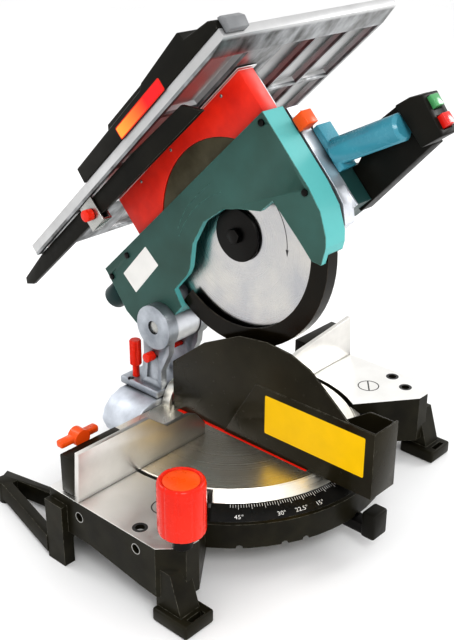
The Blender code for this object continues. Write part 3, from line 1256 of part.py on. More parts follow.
def drive():
    """Gear housing on the casting, motor housing and its cap, and the rotor inside."""
    centre = motor_centre()
    left = GEARBOX_LEFT
    right = left + GEARBOX_WIDTH
    shell = join(rod("X", BLADE_AXIS, GEARBOX_RADIUS, left, right, WIDE_SIDES),
                 rod("X", centre, MOTOR_RADIUS, left, right, BROAD_SIDES))
    nose_left = GUARD_RIGHT + RUNNING_GAP
    nose = rod("X", BLADE_AXIS, NOSE_RADIUS, nose_left, left + GEARBOX_WALL, BROAD_SIDES)
    gear_room = rod("X", BLADE_AXIS, GEARBOX_RADIUS - GEARBOX_WALL, left + GEARBOX_WALL, right + OVERRUN,
                    WIDE_SIDES)
    pinion_room = rod("X", centre, MOTOR_RADIUS - GEARBOX_WALL, left + GEARBOX_WALL, right + OVERRUN,
                      WIDE_SIDES)
    bore = rod("X", BLADE_AXIS, ARBOR_RADIUS + RUNNING_GAP, nose_left - OVERRUN, right, ROUND_SIDES)
    join(shell, nose)
    cut(shell, gear_room, pinion_room, bore)
    finish(shell, "gear_housing", HEAD, "cast_light")
    start = right + GAP
    end = start + MOTOR_LENGTH
    can = rod("X", centre, MOTOR_RADIUS, start, end, BROAD_SIDES)
    lid = rod("X", BLADE_AXIS, GEARBOX_RADIUS, start, start + GEARBOX_WALL, WIDE_SIDES)
    room = rod("X", centre, MOTOR_RADIUS - MOTOR_WALL, start - OVERRUN, end - MOTOR_WALL, WIDE_SIDES)
    shaft = rod("X", centre, ROTOR_SHAFT_RADIUS + RUNNING_GAP, start, end + OVERRUN, ROUND_SIDES)
    join(can, lid)
    cut(can, room, shaft)
    finish(can, "motor_housing", HEAD, "green_plastic")
    cap_left = end + GAP
    cap_right = cap_left + MOTOR_CAP_LENGTH
    cap = soften(rod("X", centre, MOTOR_RADIUS, cap_left, cap_right, BROAD_SIDES), MOTOR_WALL, 1)
    half = MOTOR_SLOT_WIDTH / 2
    slots = []
    for number in range(MOTOR_SLOTS):
        turn = Matrix.Rotation(math.pi * (2 * number + 1) / MOTOR_SLOTS, MATRIX_ROWS, "X")
        slot = box((cap_right - MOTOR_SLOT_DEPTH, cap_right + OVERRUN),
                   (MOTOR_SLOT_INNER, MOTOR_SLOT_OUTER), (-half, half))
        slot.data.transform(Matrix.Translation((0, *centre)) @ turn)
        slots.append(slot)
    hollow = rod("X", centre, SHAFT_POCKET_RADIUS, cap_left - OVERRUN, cap_left + MOTOR_CAP_LENGTH / 2,
                 ROUND_SIDES)
    cut(cap, hollow, *slots)
    finish(cap, "motor_end_cap", HEAD, "green_plastic")
    core = rod("X", centre, ROTOR_RADIUS, start + ROTOR_MARGIN, end - MOTOR_WALL - ROTOR_MARGIN,
               WIDE_SIDES)
    shaft = rod("X", centre, ROTOR_SHAFT_RADIUS, GEAR_LEFT, cap_left + SHAFT_END_REACH, SLIM_SIDES)
    pinion = rod("X", centre, PINION_RADIUS, GEAR_LEFT, GEAR_LEFT + GEAR_WIDTH, ROUND_SIDES)
    finish(join(core, shaft, pinion), "motor_rotor", HEAD, "dark_steel", pivot=(0, *centre))
    gland_z = centre[1] - MOTOR_RADIUS
    gland_x = end - GLAND_INSET
    gland = turned("Z", (gland_x, centre[0]), [
        (GLAND_RADIUS, gland_z), (GLAND_TIP_RADIUS, gland_z - GLAND_LENGTH),
        (GLAND_BORE_RADIUS, gland_z - GLAND_LENGTH), (GLAND_BORE_RADIUS, gland_z)], ROUND_SIDES)
    finish(gland, "cord_gland", HEAD, "black_plastic")


def handle():
    front = CASTING_SHARES[0][0] * BLADE_RADIUS - GAP
    flange = box((PLATE_LEFT, PLATE_RIGHT), (front - PLATE_THICKNESS, front),
                 (PLATE_BOTTOM_SHARE * BLADE_RADIUS, PLATE_TOP_SHARE * BLADE_RADIUS))
    soften(flange, TURNTABLE_EDGE)
    (y0, z0), (y1, z1) = spread(GRIP_START_SHARES + GRIP_END_SHARES, BLADE_RADIUS)
    start, end = Vector((GRIP_X, y0, z0)), Vector((GRIP_X, y1, z1))
    run = end - start
    bar = rod("Z", (0, 0), GRIP_RADIUS, 0, run.length, GRIP_SIDES)
    bar.data.transform(Matrix.Rotation(math.pi / GRIP_SIDES, MATRIX_ROWS, "Z"))
    bar.data.transform(Matrix.Translation(start) @ run.to_track_quat("Z", "X").to_matrix().to_4x4())
    soften(bar, GRIP_EDGE, 1)
    finish(join(flange, bar), "handle_grip", HEAD, "teal_plastic")
    outline = spread(HOUSING_SHARES, BLADE_RADIUS)
    right = HOUSING_LEFT + HOUSING_WIDTH
    housing = plate("X", outline, HOUSING_LEFT, right)
    hollow = plate("X", inset(outline, HOUSING_WALL), HOUSING_LEFT + HOUSING_WALL, right + OVERRUN)
    finish(cut(housing, hollow), "handle_housing", HEAD, "black_plastic")
    box_outline = spread(BOX_SHARES, BLADE_RADIUS)
    switch_box = plate("X", box_outline, BOX_LEFT, BOX_LEFT + BOX_WIDTH)
    face = BUTTON_FACE_Y_SHARE * BLADE_RADIUS
    middle = BOX_LEFT + BOX_WIDTH / 2
    room = BUTTON_HALF_SIZE + RUNNING_GAP
    sockets = []
    for share in (ON_BUTTON_Z_SHARE, OFF_BUTTON_Z_SHARE):
        z = share * BLADE_RADIUS
        sockets.append(box((middle - room, middle + room),
                           (face - OVERRUN - BUTTON_OUT, face + BUTTON_LENGTH + BUTTON_TRAVEL + GAP),
                           (z - room, z + room)))
    cut(switch_box, *sockets)
    finish(switch_box, "switch_box", HEAD, "black_plastic")
    for share, name, look in ((ON_BUTTON_Z_SHARE, "on_button", "green_button"),
                              (OFF_BUTTON_Z_SHARE, "off_button", "red_plastic")):
        z = share * BLADE_RADIUS
        button = box((middle - BUTTON_HALF_SIZE, middle + BUTTON_HALF_SIZE),
                     (face - BUTTON_OUT, face + BUTTON_LENGTH - BUTTON_OUT),
                     (z - BUTTON_HALF_SIZE, z + BUTTON_HALF_SIZE))
        finish(soften(button, TURNTABLE_EDGE / 2, 1), name, HEAD, look)


def release_button():
    front = CASTING_SHARES[0][0] * BLADE_RADIUS - RELEASE_STANDOFF
    low = RELEASE_BOTTOM_SHARE * BLADE_RADIUS
    cube = box((RELEASE_LEFT, RELEASE_LEFT + RELEASE_SIZE), (front - RELEASE_SIZE, front),
               (low, low + RELEASE_SIZE))
    soften(cube, TURNTABLE_EDGE)
    stem_end = front + RELEASE_STANDOFF + RELEASE_STEM_LENGTH - RELEASE_TRAVEL
    stem = rod("Y", (RELEASE_STEM_X, low + RELEASE_SIZE / 2), RELEASE_STEM_RADIUS, front - OVERRUN,
               stem_end, THIN_SIDES)
    finish(join(cube, stem), "release_button", HEAD, "orange_plastic")


def top_table():
    top = TABLE_TOP_SHARE * BLADE_RADIUS
    low = top - TABLE_THICKNESS
    front, back = TABLE_FRONT_SHARE * BLADE_RADIUS, TABLE_BACK_SHARE * BLADE_RADIUS
    body = plate("X", [(back, top), (back, low), (front + TABLE_LIP_SLANT, low),
                       (front, top - TABLE_LIP), (front, top)],
                 TABLE_LEFT, TABLE_RIGHT)
    along = (back - TABLE_RIM - front - TABLE_LIP_SLANT) / TABLE_POCKETS_ALONG
    across_spans = [(TABLE_LEFT + TABLE_RIM, TABLE_PAD_LEFT)]
    wide = (TABLE_RIGHT - TABLE_RIM - TABLE_PAD_RIGHT) / TABLE_POCKETS_ACROSS
    for number in range(TABLE_POCKETS_ACROSS):
        start = TABLE_PAD_RIGHT + wide * number
        across_spans.append((start, start + wide - TABLE_RIB * (number + 1 < TABLE_POCKETS_ACROSS)))
    pockets = []
    for number in range(TABLE_POCKETS_ALONG):
        start = front + TABLE_LIP_SLANT + along * number + TABLE_RIB
        for span in across_spans:
            pockets.append(box(span, (start, start + along - TABLE_RIB),
                               (low - OVERRUN, top - TABLE_SKIN)))
    slot = box((SLOT_LEFT, SLOT_RIGHT), (SLOT_FRONT_SHARE * BLADE_RADIUS, SLOT_BACK_SHARE * BLADE_RADIUS),
               (low - OVERRUN, top + OVERRUN))
    cut(body, *pockets, slot)
    rods = [rod("Z", (ROD_X, y), ROD_RADIUS, z, low + OVERRUN, SLIM_SIDES) for y,
            z in spread(ROD_SHARES, BLADE_RADIUS)]
    join(body, *rods)
    finish(body, "top_table", HEAD, "machined")


def blade_hood():
    front, back = HOOD_FRONT_SHARE * BLADE_RADIUS, HOOD_BACK_SHARE * BLADE_RADIUS
    top, bottom = HOOD_TOP_SHARE * BLADE_RADIUS, HOOD_BOTTOM_SHARE * BLADE_RADIUS
    wall = HOOD_WALL
    body = box((HOOD_LEFT, HOOD_RIGHT), (front, back), (bottom, top))
    flange = box((HOOD_LEFT - HOOD_FLANGE_OUT, HOOD_RIGHT + HOOD_FLANGE_OUT),
                 (front - HOOD_FLANGE_OUT, back + HOOD_FLANGE_OUT),
                 (top - GAP, top - GAP + HOOD_FLANGE_THICKNESS))
    join(body, flange)
    room = box((HOOD_LEFT + wall, HOOD_RIGHT - wall), (front + wall, back - wall),
               (bottom - OVERRUN, top - wall))
    window = rod("X", BLADE_AXIS, HOOD_WINDOW_SHARE * BLADE_RADIUS, HOOD_LEFT - OVERRUN,
                 HOOD_RIGHT + OVERRUN,
                 HOOD_WINDOW_SIDES)
    slot = box((SLOT_LEFT, SLOT_RIGHT), (SLOT_FRONT_SHARE * BLADE_RADIUS, SLOT_BACK_SHARE * BLADE_RADIUS),
               (top - 2 * wall, top + 2 * HOOD_FLANGE_THICKNESS))
    cut(body, room, window, slot)
    finish(body, "blade_hood", HEAD, "red_paint")


def crown():
    middle = BLADE_LEFT + BLADE_THICKNESS / 2
    half = KNIFE_THICKNESS / 2
    knife = plate("X", spread(KNIFE_SHARES, BLADE_RADIUS), middle - half, middle + half)
    finish(knife, "riving_knife", HEAD, "zinc")
    outline = spread(CROWN_SHARES, BLADE_RADIUS)
    left, right = middle - CROWN_HALF_WIDTH, middle + CROWN_HALF_WIDTH
    shell = plate("X", outline, left, right)
    floor_z = min(point[1] for point in outline)
    inside = inset(outline, CROWN_WALL)
    lowered = [(y, floor_z - OVERRUN if z < floor_z + 2 * CROWN_WALL else z) for y, z in inside]
    hollow = plate("X", lowered, left + CROWN_WALL, right - CROWN_WALL)
    finish(cut(shell, hollow), "crown_guard", HEAD, "black_plastic")


def rip_fence():
    outline = spread(RIP_SHARES, BLADE_RADIUS)
    right = RIP_LEFT + RIP_WIDTH
    body = plate("X", outline, RIP_LEFT, right)
    finish(soften(body, TURNTABLE_EDGE, 1), "rip_fence", HEAD, "black_plastic")
    clamp = plate("X", spread(RIP_CLAMP_SHARES, BLADE_RADIUS), RIP_CLAMP_LEFT, RIP_CLAMP_RIGHT)
    finish(clamp, "rip_fence_clamp", HEAD, "grey_paint")


def push_stick():
    right = STICK_LEFT + STICK_THICKNESS
    finish(plate("X", spread(STICK_SHARES, BLADE_RADIUS), STICK_LEFT, right), "push_stick", HEAD,
           "black_plastic")
    low = TABLE_TOP_SHARE * BLADE_RADIUS - TABLE_THICKNESS - GAP
    bottom = CLIP_BOTTOM_SHARE * BLADE_RADIUS
    front, back = CLIP_FRONT_SHARE * BLADE_RADIUS, CLIP_BACK_SHARE * BLADE_RADIUS
    left = STICK_LEFT - RUNNING_GAP - CLIP_WALL
    stick_right = right + RUNNING_GAP
    clip = box((left, stick_right + CLIP_WALL), (front, back), (bottom, low))
    stick_top = max(share[1] for share in STICK_SHARES) * BLADE_RADIUS + RUNNING_GAP
    room = box((left + CLIP_WALL, stick_right), (front - OVERRUN, back + OVERRUN),
               (bottom + CLIP_WALL, low + OVERRUN))
    finish(cut(clip, room), "stick_clip", HEAD, "zinc")
    y, z = (front + back) / 2, (bottom + stick_top) / 2
    knob = rod("X", (y, z), CLIP_KNOB_RADIUS, left - GAP - CLIP_KNOB_LENGTH, left - GAP, SLIM_SIDES)
    finish(knob, "clip_knob", HEAD, "red_plastic", pivot=(0, y, z))


def height_knob():
    y, z = ROD_SHARES[0][0] * BLADE_RADIUS, BAND_BLOCK_TOP_SHARE * BLADE_RADIUS + HEIGHT_KNOB_RADIUS
    left = CASTING_LEFT + CASTING_THICKNESS + GAP
    knob = fluted("X", (y, z), HEIGHT_KNOB_RADIUS, left, left + HEIGHT_KNOB_LENGTH, HEIGHT_KNOB_LOBES,
                  HEIGHT_KNOB_LOBE_RADIUS, WIDE_SIDES)
    finish(knob, "height_lock_knob", HEAD, "black_plastic", pivot=(0, y, z))


base_casting()
scale_rings()
outrigger(-1, "outrigger_left")
outrigger(1, "outrigger_right")
table_bolt()
clamp_knob()
turntable()
kerf_insert()
mitre_lock()
lower_cover()
fence(-1, FENCE_LEFT_SHARES, FRAME_HEIGHT, "left_fence")
fence(1, FENCE_RIGHT_SHARES, FRAME_RIGHT_HEIGHT, "right_fence")
wing_knob()
tilt_arm()
bevel_pin()
hinge_bracket()
bevel_lock()
hinge_parts()
head_casting()
green_cover()
inner_disc()
dust_port()
lower_guard()
saw_blade()
arbor_parts()
drive()
handle()
release_button()
top_table()
blade_hood()
crown()
rip_fence()
push_stick()
height_knob()


def settle():
    """Stands the saw with its footprint's middle at the origin, and prints the places of its joints."""
    bpy.context.view_layer.update()
    corners = [piece.matrix_world @ vertex.co
               for piece in PARTS.objects if piece.type == "MESH" for vertex in piece.data.vertices]
    low = Vector([min(corner[axis] for corner in corners) for axis in range(3)])
    high = Vector([max(corner[axis] for corner in corners) for axis in range(3)])
    MACHINE.empty.location = (-(low.x + high.x) / 2, -(low.y + high.y) / 2, -low.z)
    bpy.context.view_layer.update()
    print("size (m):", [round(value, DIGITS) for value in high - low])
    for frame in (MACHINE, MITRE, BEVEL, HEAD):
        print(frame.empty.name, [round(value, DIGITS) for value in frame.empty.matrix_world.translation])
    for name in ("saw_blade", "lower_cover", "motor_rotor", "clamp_knob", "wing_knob", "bevel_lock_knob",
                 "clip_knob",
                 "height_lock_knob"):
        print(name, [round(value, DIGITS) for value in bpy.data.objects[name].matrix_world.translation])


settle()
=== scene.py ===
# %% [markdown]
# # A bench saw for mitres and ripping
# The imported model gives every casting, lever and knob its true place. This lesson dresses those shapes: it
# rounds their edges, gives each one its own paint, metal or plastic, and adds the small things that a
# casting drawing leaves out, such as scale marks, plates, screw recesses and machined rings.

# %% Load the frame
import bpy
import bmesh
import json
import math
from mathutils import Matrix, Vector
from mathutils.bvhtree import BVHTree


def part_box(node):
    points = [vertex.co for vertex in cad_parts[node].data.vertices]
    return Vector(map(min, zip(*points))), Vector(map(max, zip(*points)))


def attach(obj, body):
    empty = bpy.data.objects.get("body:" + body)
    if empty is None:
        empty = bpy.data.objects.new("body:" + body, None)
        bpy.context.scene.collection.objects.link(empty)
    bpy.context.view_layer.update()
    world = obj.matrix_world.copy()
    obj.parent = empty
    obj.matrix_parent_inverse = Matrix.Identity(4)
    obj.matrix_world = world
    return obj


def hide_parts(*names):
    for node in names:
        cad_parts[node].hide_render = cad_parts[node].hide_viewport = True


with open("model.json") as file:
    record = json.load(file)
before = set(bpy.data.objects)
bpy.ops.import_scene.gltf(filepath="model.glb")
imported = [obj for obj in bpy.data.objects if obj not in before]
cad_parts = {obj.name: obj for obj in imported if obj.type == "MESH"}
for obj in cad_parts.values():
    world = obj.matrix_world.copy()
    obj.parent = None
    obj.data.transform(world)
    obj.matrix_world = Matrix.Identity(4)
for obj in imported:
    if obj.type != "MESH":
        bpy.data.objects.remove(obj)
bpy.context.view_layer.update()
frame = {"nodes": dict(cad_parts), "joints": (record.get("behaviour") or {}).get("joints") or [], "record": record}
nodes = frame["nodes"]
joints = {joint["name"]: joint for joint in frame["joints"]}
bodies = frame["record"]["behaviour"]["bodies"]
body_of = {node: body for body, members in bodies.items() for node in members}

# %% [markdown]
# ## Two places to work from
# The base stands square to the floor, but the whole saw head leans back by about forty degrees. Measuring
# its labels and screws in floor coordinates would be painful, so two matrices are made from the joints: one
# at the middle of the turntable, one at the blade's axis with its second axis running back along the saw
# table.

# %% Frames of the base and of the head
MM = 0.001
ACROSS = Vector((1, 0, 0))
UP = Vector((0, 0, 1))
BACK = -Vector(joints["push_stick_slide"]["axis"]).normalized()
LIFT = -Vector(joints["table_height"]["axis"]).normalized()
BLADE_AXIS = Vector(joints["blade_spin"]["pos_m"])
BASE = Matrix.Translation(Vector(joints["mitre"]["pos_m"]))
HEAD = Matrix.Translation(BLADE_AXIS) @ Matrix((ACROSS, BACK, LIFT)).transposed().to_4x4()
DECK_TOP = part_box("base_casting")[1].z
print("blade axis", tuple(round(v, 4) for v in BLADE_AXIS), "deck at", round(DECK_TOP, 4))
print("head leans", round(math.degrees(math.acos(LIFT.z)), 1), "degrees")

# %% [markdown]
# ## The camera
# The picture was taken from the saw's front left, a little above it. The angles and the distance were found
# by fitting a pinhole camera to points on the saw, so the same view can be set up here from plain numbers.

# %% Camera
AZIMUTH = math.radians(47.514)
ELEVATION = math.radians(24.783)
ROLL = math.radians(0.190)
CAMERA_AIM = Vector((0.05804, 0.03268, 0.18158))
CAMERA_DISTANCE = 1.3221
LENS_LENGTH = 59.85
FILM_WIDTH = 36
NEAREST = 0.05

level = Vector((-math.sin(AZIMUTH), -math.cos(AZIMUTH), 0))
towards = level * math.cos(ELEVATION) + UP * math.sin(ELEVATION)
side = Vector((math.cos(AZIMUTH), -math.sin(AZIMUTH), 0))
upwards = side.cross(-towards)
camera_side = side * math.cos(ROLL) + upwards * math.sin(ROLL)
camera_up = upwards * math.cos(ROLL) - side * math.sin(ROLL)
lens = bpy.data.cameras.new("photo_camera")
lens.lens = LENS_LENGTH
lens.sensor_width = FILM_WIDTH
lens.clip_start = NEAREST
camera = bpy.data.objects.new("photo_camera", lens)
bpy.context.scene.collection.objects.link(camera)
facing_saw = Matrix((camera_side, camera_up, towards)).transposed().to_4x4()
camera.matrix_world = Matrix.Translation(CAMERA_AIM + towards * CAMERA_DISTANCE) @ facing_saw
bpy.context.scene.camera = camera
print("camera stands", round(CAMERA_DISTANCE, 3), "m from the saw")

# %% [markdown]
# ## Small tools for shapes
# Three kinds of piece come again and again on a machine: flat plates with an outline, turned rings and
# heads, and thin raised lines. One short function for each keeps the later cells about the saw and not
# about vertices. This cell makes the plates.

# %% Shape helpers
SMOOTH_ANGLE = 35
LEAST_HALF_ANGLE = 0.05
SIDE_SHARE = 0.45
parts = bpy.data.collections.new("dressed_saw")
bpy.context.scene.collection.children.link(parts)


def smoothed(mesh, angle):
    """Shades a mesh smooth, apart from edges that are sharper than an angle in degrees."""
    mesh.polygons.foreach_set("use_smooth", [True] * len(mesh.polygons))
    mesh.set_sharp_from_angle(angle=math.radians(angle))


def shown(name, mesh):
    """Puts a mesh in the scene as a piece of the saw."""
    piece = bpy.data.objects.new(name, mesh)
    parts.objects.link(piece)
    return piece


def piece_from(shape, name, place):
    """Makes a piece of a bmesh, with its faces looking outwards."""
    bmesh.ops.recalc_face_normals(shape, faces=shape.faces)
    mesh = bpy.data.meshes.new(name)
    shape.to_mesh(mesh)
    shape.free()
    mesh.transform(place)
    if place.determinant() < 0:
        mesh.flip_normals()
    smoothed(mesh, SMOOTH_ANGLE)
    return shown(name, mesh)


def in_metres(points):
    """Points typed in millimetres."""
    return [tuple(value * MM for value in point) for point in points]


def oblong(left, right, low, high):
    """The corners of a rectangle typed in millimetres."""
    return in_metres([(left, low), (right, low), (right, high), (left, high)])


def rounded(corners, radius, steps=5):
    """The outline of a flat polygon with each corner cut to a curve of about this radius."""
    outline = []
    for index, corner in enumerate(corners):
        here = Vector(corner)
        to_last = Vector(corners[index - 1]) - here
        to_next = Vector(corners[(index + 1) % len(corners)]) - here
        half = max(to_last.angle(to_next) / 2, LEAST_HALF_ANGLE)
        shorter = min(to_last.length, to_next.length)
        reach = min(radius / math.tan(half), SIDE_SHARE * shorter)
        start = here + to_last.normalized() * reach
        end = here + to_next.normalized() * reach
        for step in range(steps + 1):
            share = step / steps
            point = start * (1 - share) ** 2 + here * 2 * share * (1 - share) + end * share ** 2
            outline.append(point.to_tuple())
    return outline


def plate(name, outline, low, high, place):
    """A flat plate between two heights over its outline."""
    shape = bmesh.new()
    face = shape.faces.new([shape.verts.new((x, y, low)) for x, y in outline])
    made = bmesh.ops.extrude_face_region(shape, geom=[face])["geom"]
    lifted = [item for item in made if isinstance(item, bmesh.types.BMVert)]
    bmesh.ops.translate(shape, vec=(0, 0, high - low), verts=lifted)
    return piece_from(shape, name, place)


print("helpers: outlines and plates")

# %% [markdown]
# ## Turned pieces, raised lines and where they go
# A lathe sweeps a profile round an axis, and so does this cell. Thin lines are bevelled curves that are made
# into meshes. The last two helpers put a piece on its body and work out a place from a surface's direction.

# %% Turned pieces and lines
SAME_POINT = 1e-7
CHAMFER_SHARE = 0.25


def ring_of(shape, profile, angle, scale=1.0):
    """A profile's (radius, height) points, turned to an angle about local Z."""
    x, y = scale * math.cos(angle), scale * math.sin(angle)
    return [shape.verts.new((radius * x, radius * y, height)) for radius, height in profile]


def turned(name, profile, place, steps=48, wave=None):
    """A body turned about local Z from (radius, height) points; wave(angle) may scale each radius."""
    shape = bmesh.new()
    angles = [math.tau * step / steps for step in range(steps)]
    rings = [ring_of(shape, profile, angle, wave(angle) if wave else 1.0) for angle in angles]
    for here, there in zip(rings, rings[1:] + rings[:1]):
        for low in range(len(profile) - 1):
            shape.faces.new((here[low], there[low], there[low + 1], here[low + 1]))
    for end in (0, -1):
        if profile[end][0] > SAME_POINT:
            shape.faces.new([ring[end] for ring in rings])
    bmesh.ops.remove_doubles(shape, verts=shape.verts, dist=SAME_POINT)
    return piece_from(shape, name, place)


def washer(name, inner, outer, low, high, place, steps=48):
    """A flat ring with small chamfers, such as a machined spot round a hole."""
    edge = CHAMFER_SHARE * (high - low)
    profile = [(inner, low), (outer, low), (outer, high - edge), (outer - edge, high),
               (inner + edge, high), (inner, high - edge)]
    shape = bmesh.new()
    rings = [ring_of(shape, profile, math.tau * step / steps) for step in range(steps)]
    for here, there in zip(rings, rings[1:] + rings[:1]):
        for low_point in range(len(profile)):
            high_point = (low_point + 1) % len(profile)
            shape.faces.new((here[low_point], there[low_point], there[high_point], here[high_point]))
    return piece_from(shape, name, place)


def mesh_of_curve(name, data):
    """The mesh that a curve or a text makes; the curve itself is taken away again."""
    holder = bpy.data.objects.new(name + "_curve", data)
    parts.objects.link(holder)
    drawn = holder.evaluated_get(bpy.context.evaluated_depsgraph_get())
    mesh = bpy.data.meshes.new_from_object(drawn)
    bpy.data.objects.remove(holder)
    mesh.name = name
    return mesh


def ridge(name, points, radius, place):
    """A thin raised line through points, half sunk in the face that it lies on."""
    line = bpy.data.curves.new(name, "CURVE")
    line.dimensions = "3D"
    line.bevel_depth = radius
    line.bevel_resolution = 2
    line.use_fill_caps = True
    spline = line.splines.new("POLY")
    spline.points.add(len(points) - 1)
    for knot, point in zip(spline.points, points):
        knot.co = (*(place @ Vector(point)), 1)
    mesh = mesh_of_curve(name, line)
    mesh.polygons.foreach_set("use_smooth", [True] * len(mesh.polygons))
    return shown(name, mesh)


def put_on(piece, body, look):
    """Gives a piece its finish and the body that it moves with."""
    piece.data.materials.clear()
    piece.data.materials.append(look)
    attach(piece, body)
    return piece


def facing(point, normal, along):
    """A place whose Z looks along normal and whose X runs along the given direction."""
    z = Vector(normal).normalized()
    x = (Vector(along) - z * Vector(along).dot(z)).normalized()
    return Matrix.Translation(point) @ Matrix((x, z.cross(x), z)).transposed().to_4x4()


print("helpers: turned pieces, washers, ridges, places")

# %% [markdown]
# ## Small tools for finishes
# A finish is a chain of nodes: a slow noise varies the colour, a fine one the bump, and rounded normals
# along the sharp edges catch the light as real edges do. Where the rounded normal differs from the flat one
# there is an edge, so the same node also says where a lighter tone goes: partly rubbed paint, partly a
# painted highlight along the edges. Another node paints shade into hollows. All of it reads object
# coordinates, so nothing slides.

# %% Finish helpers
SAMPLES = 6
# Tone of the painted shade in hollows and corners.
HOLLOW_SHADE = (0.008, 0.008, 0.008)


class Finish:
    """One material and short ways to wire its nodes."""

    def __init__(self, name, colour, metallic=0.0, roughness=0.5):
        self.look = bpy.data.materials.new(name)
        self.look.use_nodes = True
        self.look.diffuse_color = (*colour, 1)
        self.tree = self.look.node_tree
        self.shader = self.tree.nodes["Principled BSDF"]
        self.shader.inputs["Base Color"].default_value = (*colour, 1)
        self.shader.inputs["Metallic"].default_value = metallic
        self.shader.inputs["Roughness"].default_value = roughness
        self.normal = None

    def node(self, kind, **settings):
        made = self.tree.nodes.new(kind)
        for key, value in settings.items():
            setattr(made, key, value)
        return made

    def link(self, source, target):
        self.tree.links.new(source, target)

    def drive(self, socket, value):
        """Lets a chain of nodes set one of the shader's own sockets."""
        self.link(value, self.shader.inputs[socket])

    def show(self, tone):
        """Makes a tone the colour of the finish."""
        self.tone = tone
        self.drive("Base Color", tone)

    def noise(self, scale, stretch=(1, 1, 1), detail=4, roughness=0.55):
        """A soft cloud in object coordinates, stretched."""
        coordinates = self.node("ShaderNodeTexCoord")
        mapping = self.node("ShaderNodeMapping")
        mapping.inputs["Scale"].default_value = stretch
        self.link(coordinates.outputs["Object"], mapping.inputs["Vector"])
        cloud = self.node("ShaderNodeTexNoise")
        cloud.inputs["Scale"].default_value = scale
        cloud.inputs["Detail"].default_value = detail
        cloud.inputs["Roughness"].default_value = roughness
        self.link(mapping.outputs["Vector"], cloud.inputs["Vector"])
        return cloud.outputs["Fac"]

    def ranged(self, value, low, high, to_low, to_high):
        spread = self.node("ShaderNodeMapRange")
        sockets = ("From Min", "From Max", "To Min", "To Max")
        for socket, number in zip(sockets, (low, high, to_low, to_high)):
            spread.inputs[socket].default_value = number
        self.link(value, spread.inputs["Value"])
        return spread.outputs["Result"]

    def drift(self, cloud, to_low=0.0, to_high=1.0):
        """Spreads the middle of a noise over a whole range."""
        return self.ranged(cloud, 0.3, 0.7, to_low, to_high)

    def maths(self, kind, first, second=0.0):
        step = self.node("ShaderNodeMath", operation=kind)
        for socket, value in zip(step.inputs, (first, second)):
            if isinstance(value, (int, float)):
                socket.default_value = value
            else:
                self.link(value, socket)
        return step.outputs["Value"]

    def blend(self, share, first, second):
        mixer = self.node("ShaderNodeMix", data_type="RGBA")
        self.link(share, mixer.inputs["Factor"])
        sockets = [socket for socket in mixer.inputs if socket.type == "RGBA"]
        for socket, value in zip(sockets, (first, second)):
            if isinstance(value, tuple):
                socket.default_value = (*value, 1)
            else:
                self.link(value, socket)
        return next(socket for socket in mixer.outputs if socket.type == "RGBA")

    def away_from(self, origin):
        """Object coordinates counted from a point."""
        coordinates = self.node("ShaderNodeTexCoord")
        shift = self.node("ShaderNodeVectorMath", operation="SUBTRACT")
        self.link(coordinates.outputs["Object"], shift.inputs[0])
        shift.inputs[1].default_value = origin
        return shift.outputs[0]

    def along(self, direction, origin=(0, 0, 0)):
        """How far a point lies from an origin, counted along a direction."""
        dot = self.node("ShaderNodeVectorMath", operation="DOT_PRODUCT")
        self.link(self.away_from(origin), dot.inputs[0])
        dot.inputs[1].default_value = direction
        return dot.outputs["Value"]

    def beyond(self, direction, distance, blur=0.05 * MM, origin=(0, 0, 0)):
        """1 where a point lies further along a direction than a distance, 0 before it."""
        return self.ranged(self.along(direction, origin), distance - blur, distance + blur, 0.0, 1.0)

    def rings(self, centre, axes, scale):
        """A noise of the distance from an axis: the lines of a face that turned under the tool."""
        flat = self.node("ShaderNodeVectorMath", operation="MULTIPLY")
        self.link(self.away_from(centre), flat.inputs[0])
        flat.inputs[1].default_value = axes
        length = self.node("ShaderNodeVectorMath", operation="LENGTH")
        self.link(flat.outputs[0], length.inputs[0])
        lines = self.node("ShaderNodeTexNoise", noise_dimensions="1D")
        lines.inputs["Scale"].default_value = scale
        lines.inputs["Detail"].default_value = 3
        self.link(length.outputs["Value"], lines.inputs["W"])
        return lines.outputs["Fac"]

    def rounded_edges(self, radius, wear_from=0.985, wear_to=0.80):
        """Rounds sharp edges in the shading and keeps a mask of where they are."""
        bevel = self.node("ShaderNodeBevel", samples=SAMPLES)
        bevel.inputs["Radius"].default_value = radius
        geometry = self.node("ShaderNodeNewGeometry")
        dot = self.node("ShaderNodeVectorMath", operation="DOT_PRODUCT")
        self.link(bevel.outputs["Normal"], dot.inputs[0])
        self.link(geometry.outputs["Normal"], dot.inputs[1])
        self.edge = self.ranged(dot.outputs["Value"], wear_from, wear_to, 0.0, 1.0)
        self.normal = bevel.outputs["Normal"]
        self.drive("Normal", self.normal)

    def bump(self, height, strength, distance):
        bumped = self.node("ShaderNodeBump")
        bumped.inputs["Strength"].default_value = strength
        bumped.inputs["Distance"].default_value = distance
        self.link(height, bumped.inputs["Height"])
        if self.normal is not None:
            self.link(self.normal, bumped.inputs["Normal"])
        self.normal = bumped.outputs["Normal"]
        self.drive("Normal", self.normal)

    def vary(self, scale, dark, light, stretch=(1, 1, 1)):
        """Lets the colour drift between two tones."""
        self.show(self.blend(self.drift(self.noise(scale, stretch)), dark, light))

    def rubbed_edges_and_highlight(self, colour, share=0.6, scale=220):
        """Brings a lighter tone through along the edges, broken up by noise: partly rubbed paint, partly a painted
        highlight.
        """
        patches = self.ranged(self.noise(scale), 0.35, 0.65, 0.0, share)
        self.show(self.blend(self.maths("MULTIPLY", self.edge, patches), self.tone, colour))

    def hollows(self, reach, dark=0.3):
        """Paints shade into the colour where other faces stand close: a darker tone in hollows and corners."""
        openness = self.node("ShaderNodeAmbientOcclusion", samples=SAMPLES)
        openness.inputs["Distance"].default_value = reach
        share = self.ranged(openness.outputs["AO"], 0.3, 0.95, dark, 1.0)
        self.show(self.blend(share, HOLLOW_SHADE, self.tone))

    def gloss(self, scale, low, high, stretch=(1, 1, 1)):
        """Lets the roughness drift between two values."""
        self.drive("Roughness", self.drift(self.noise(scale, stretch), low, high))


print("finish helper ready")
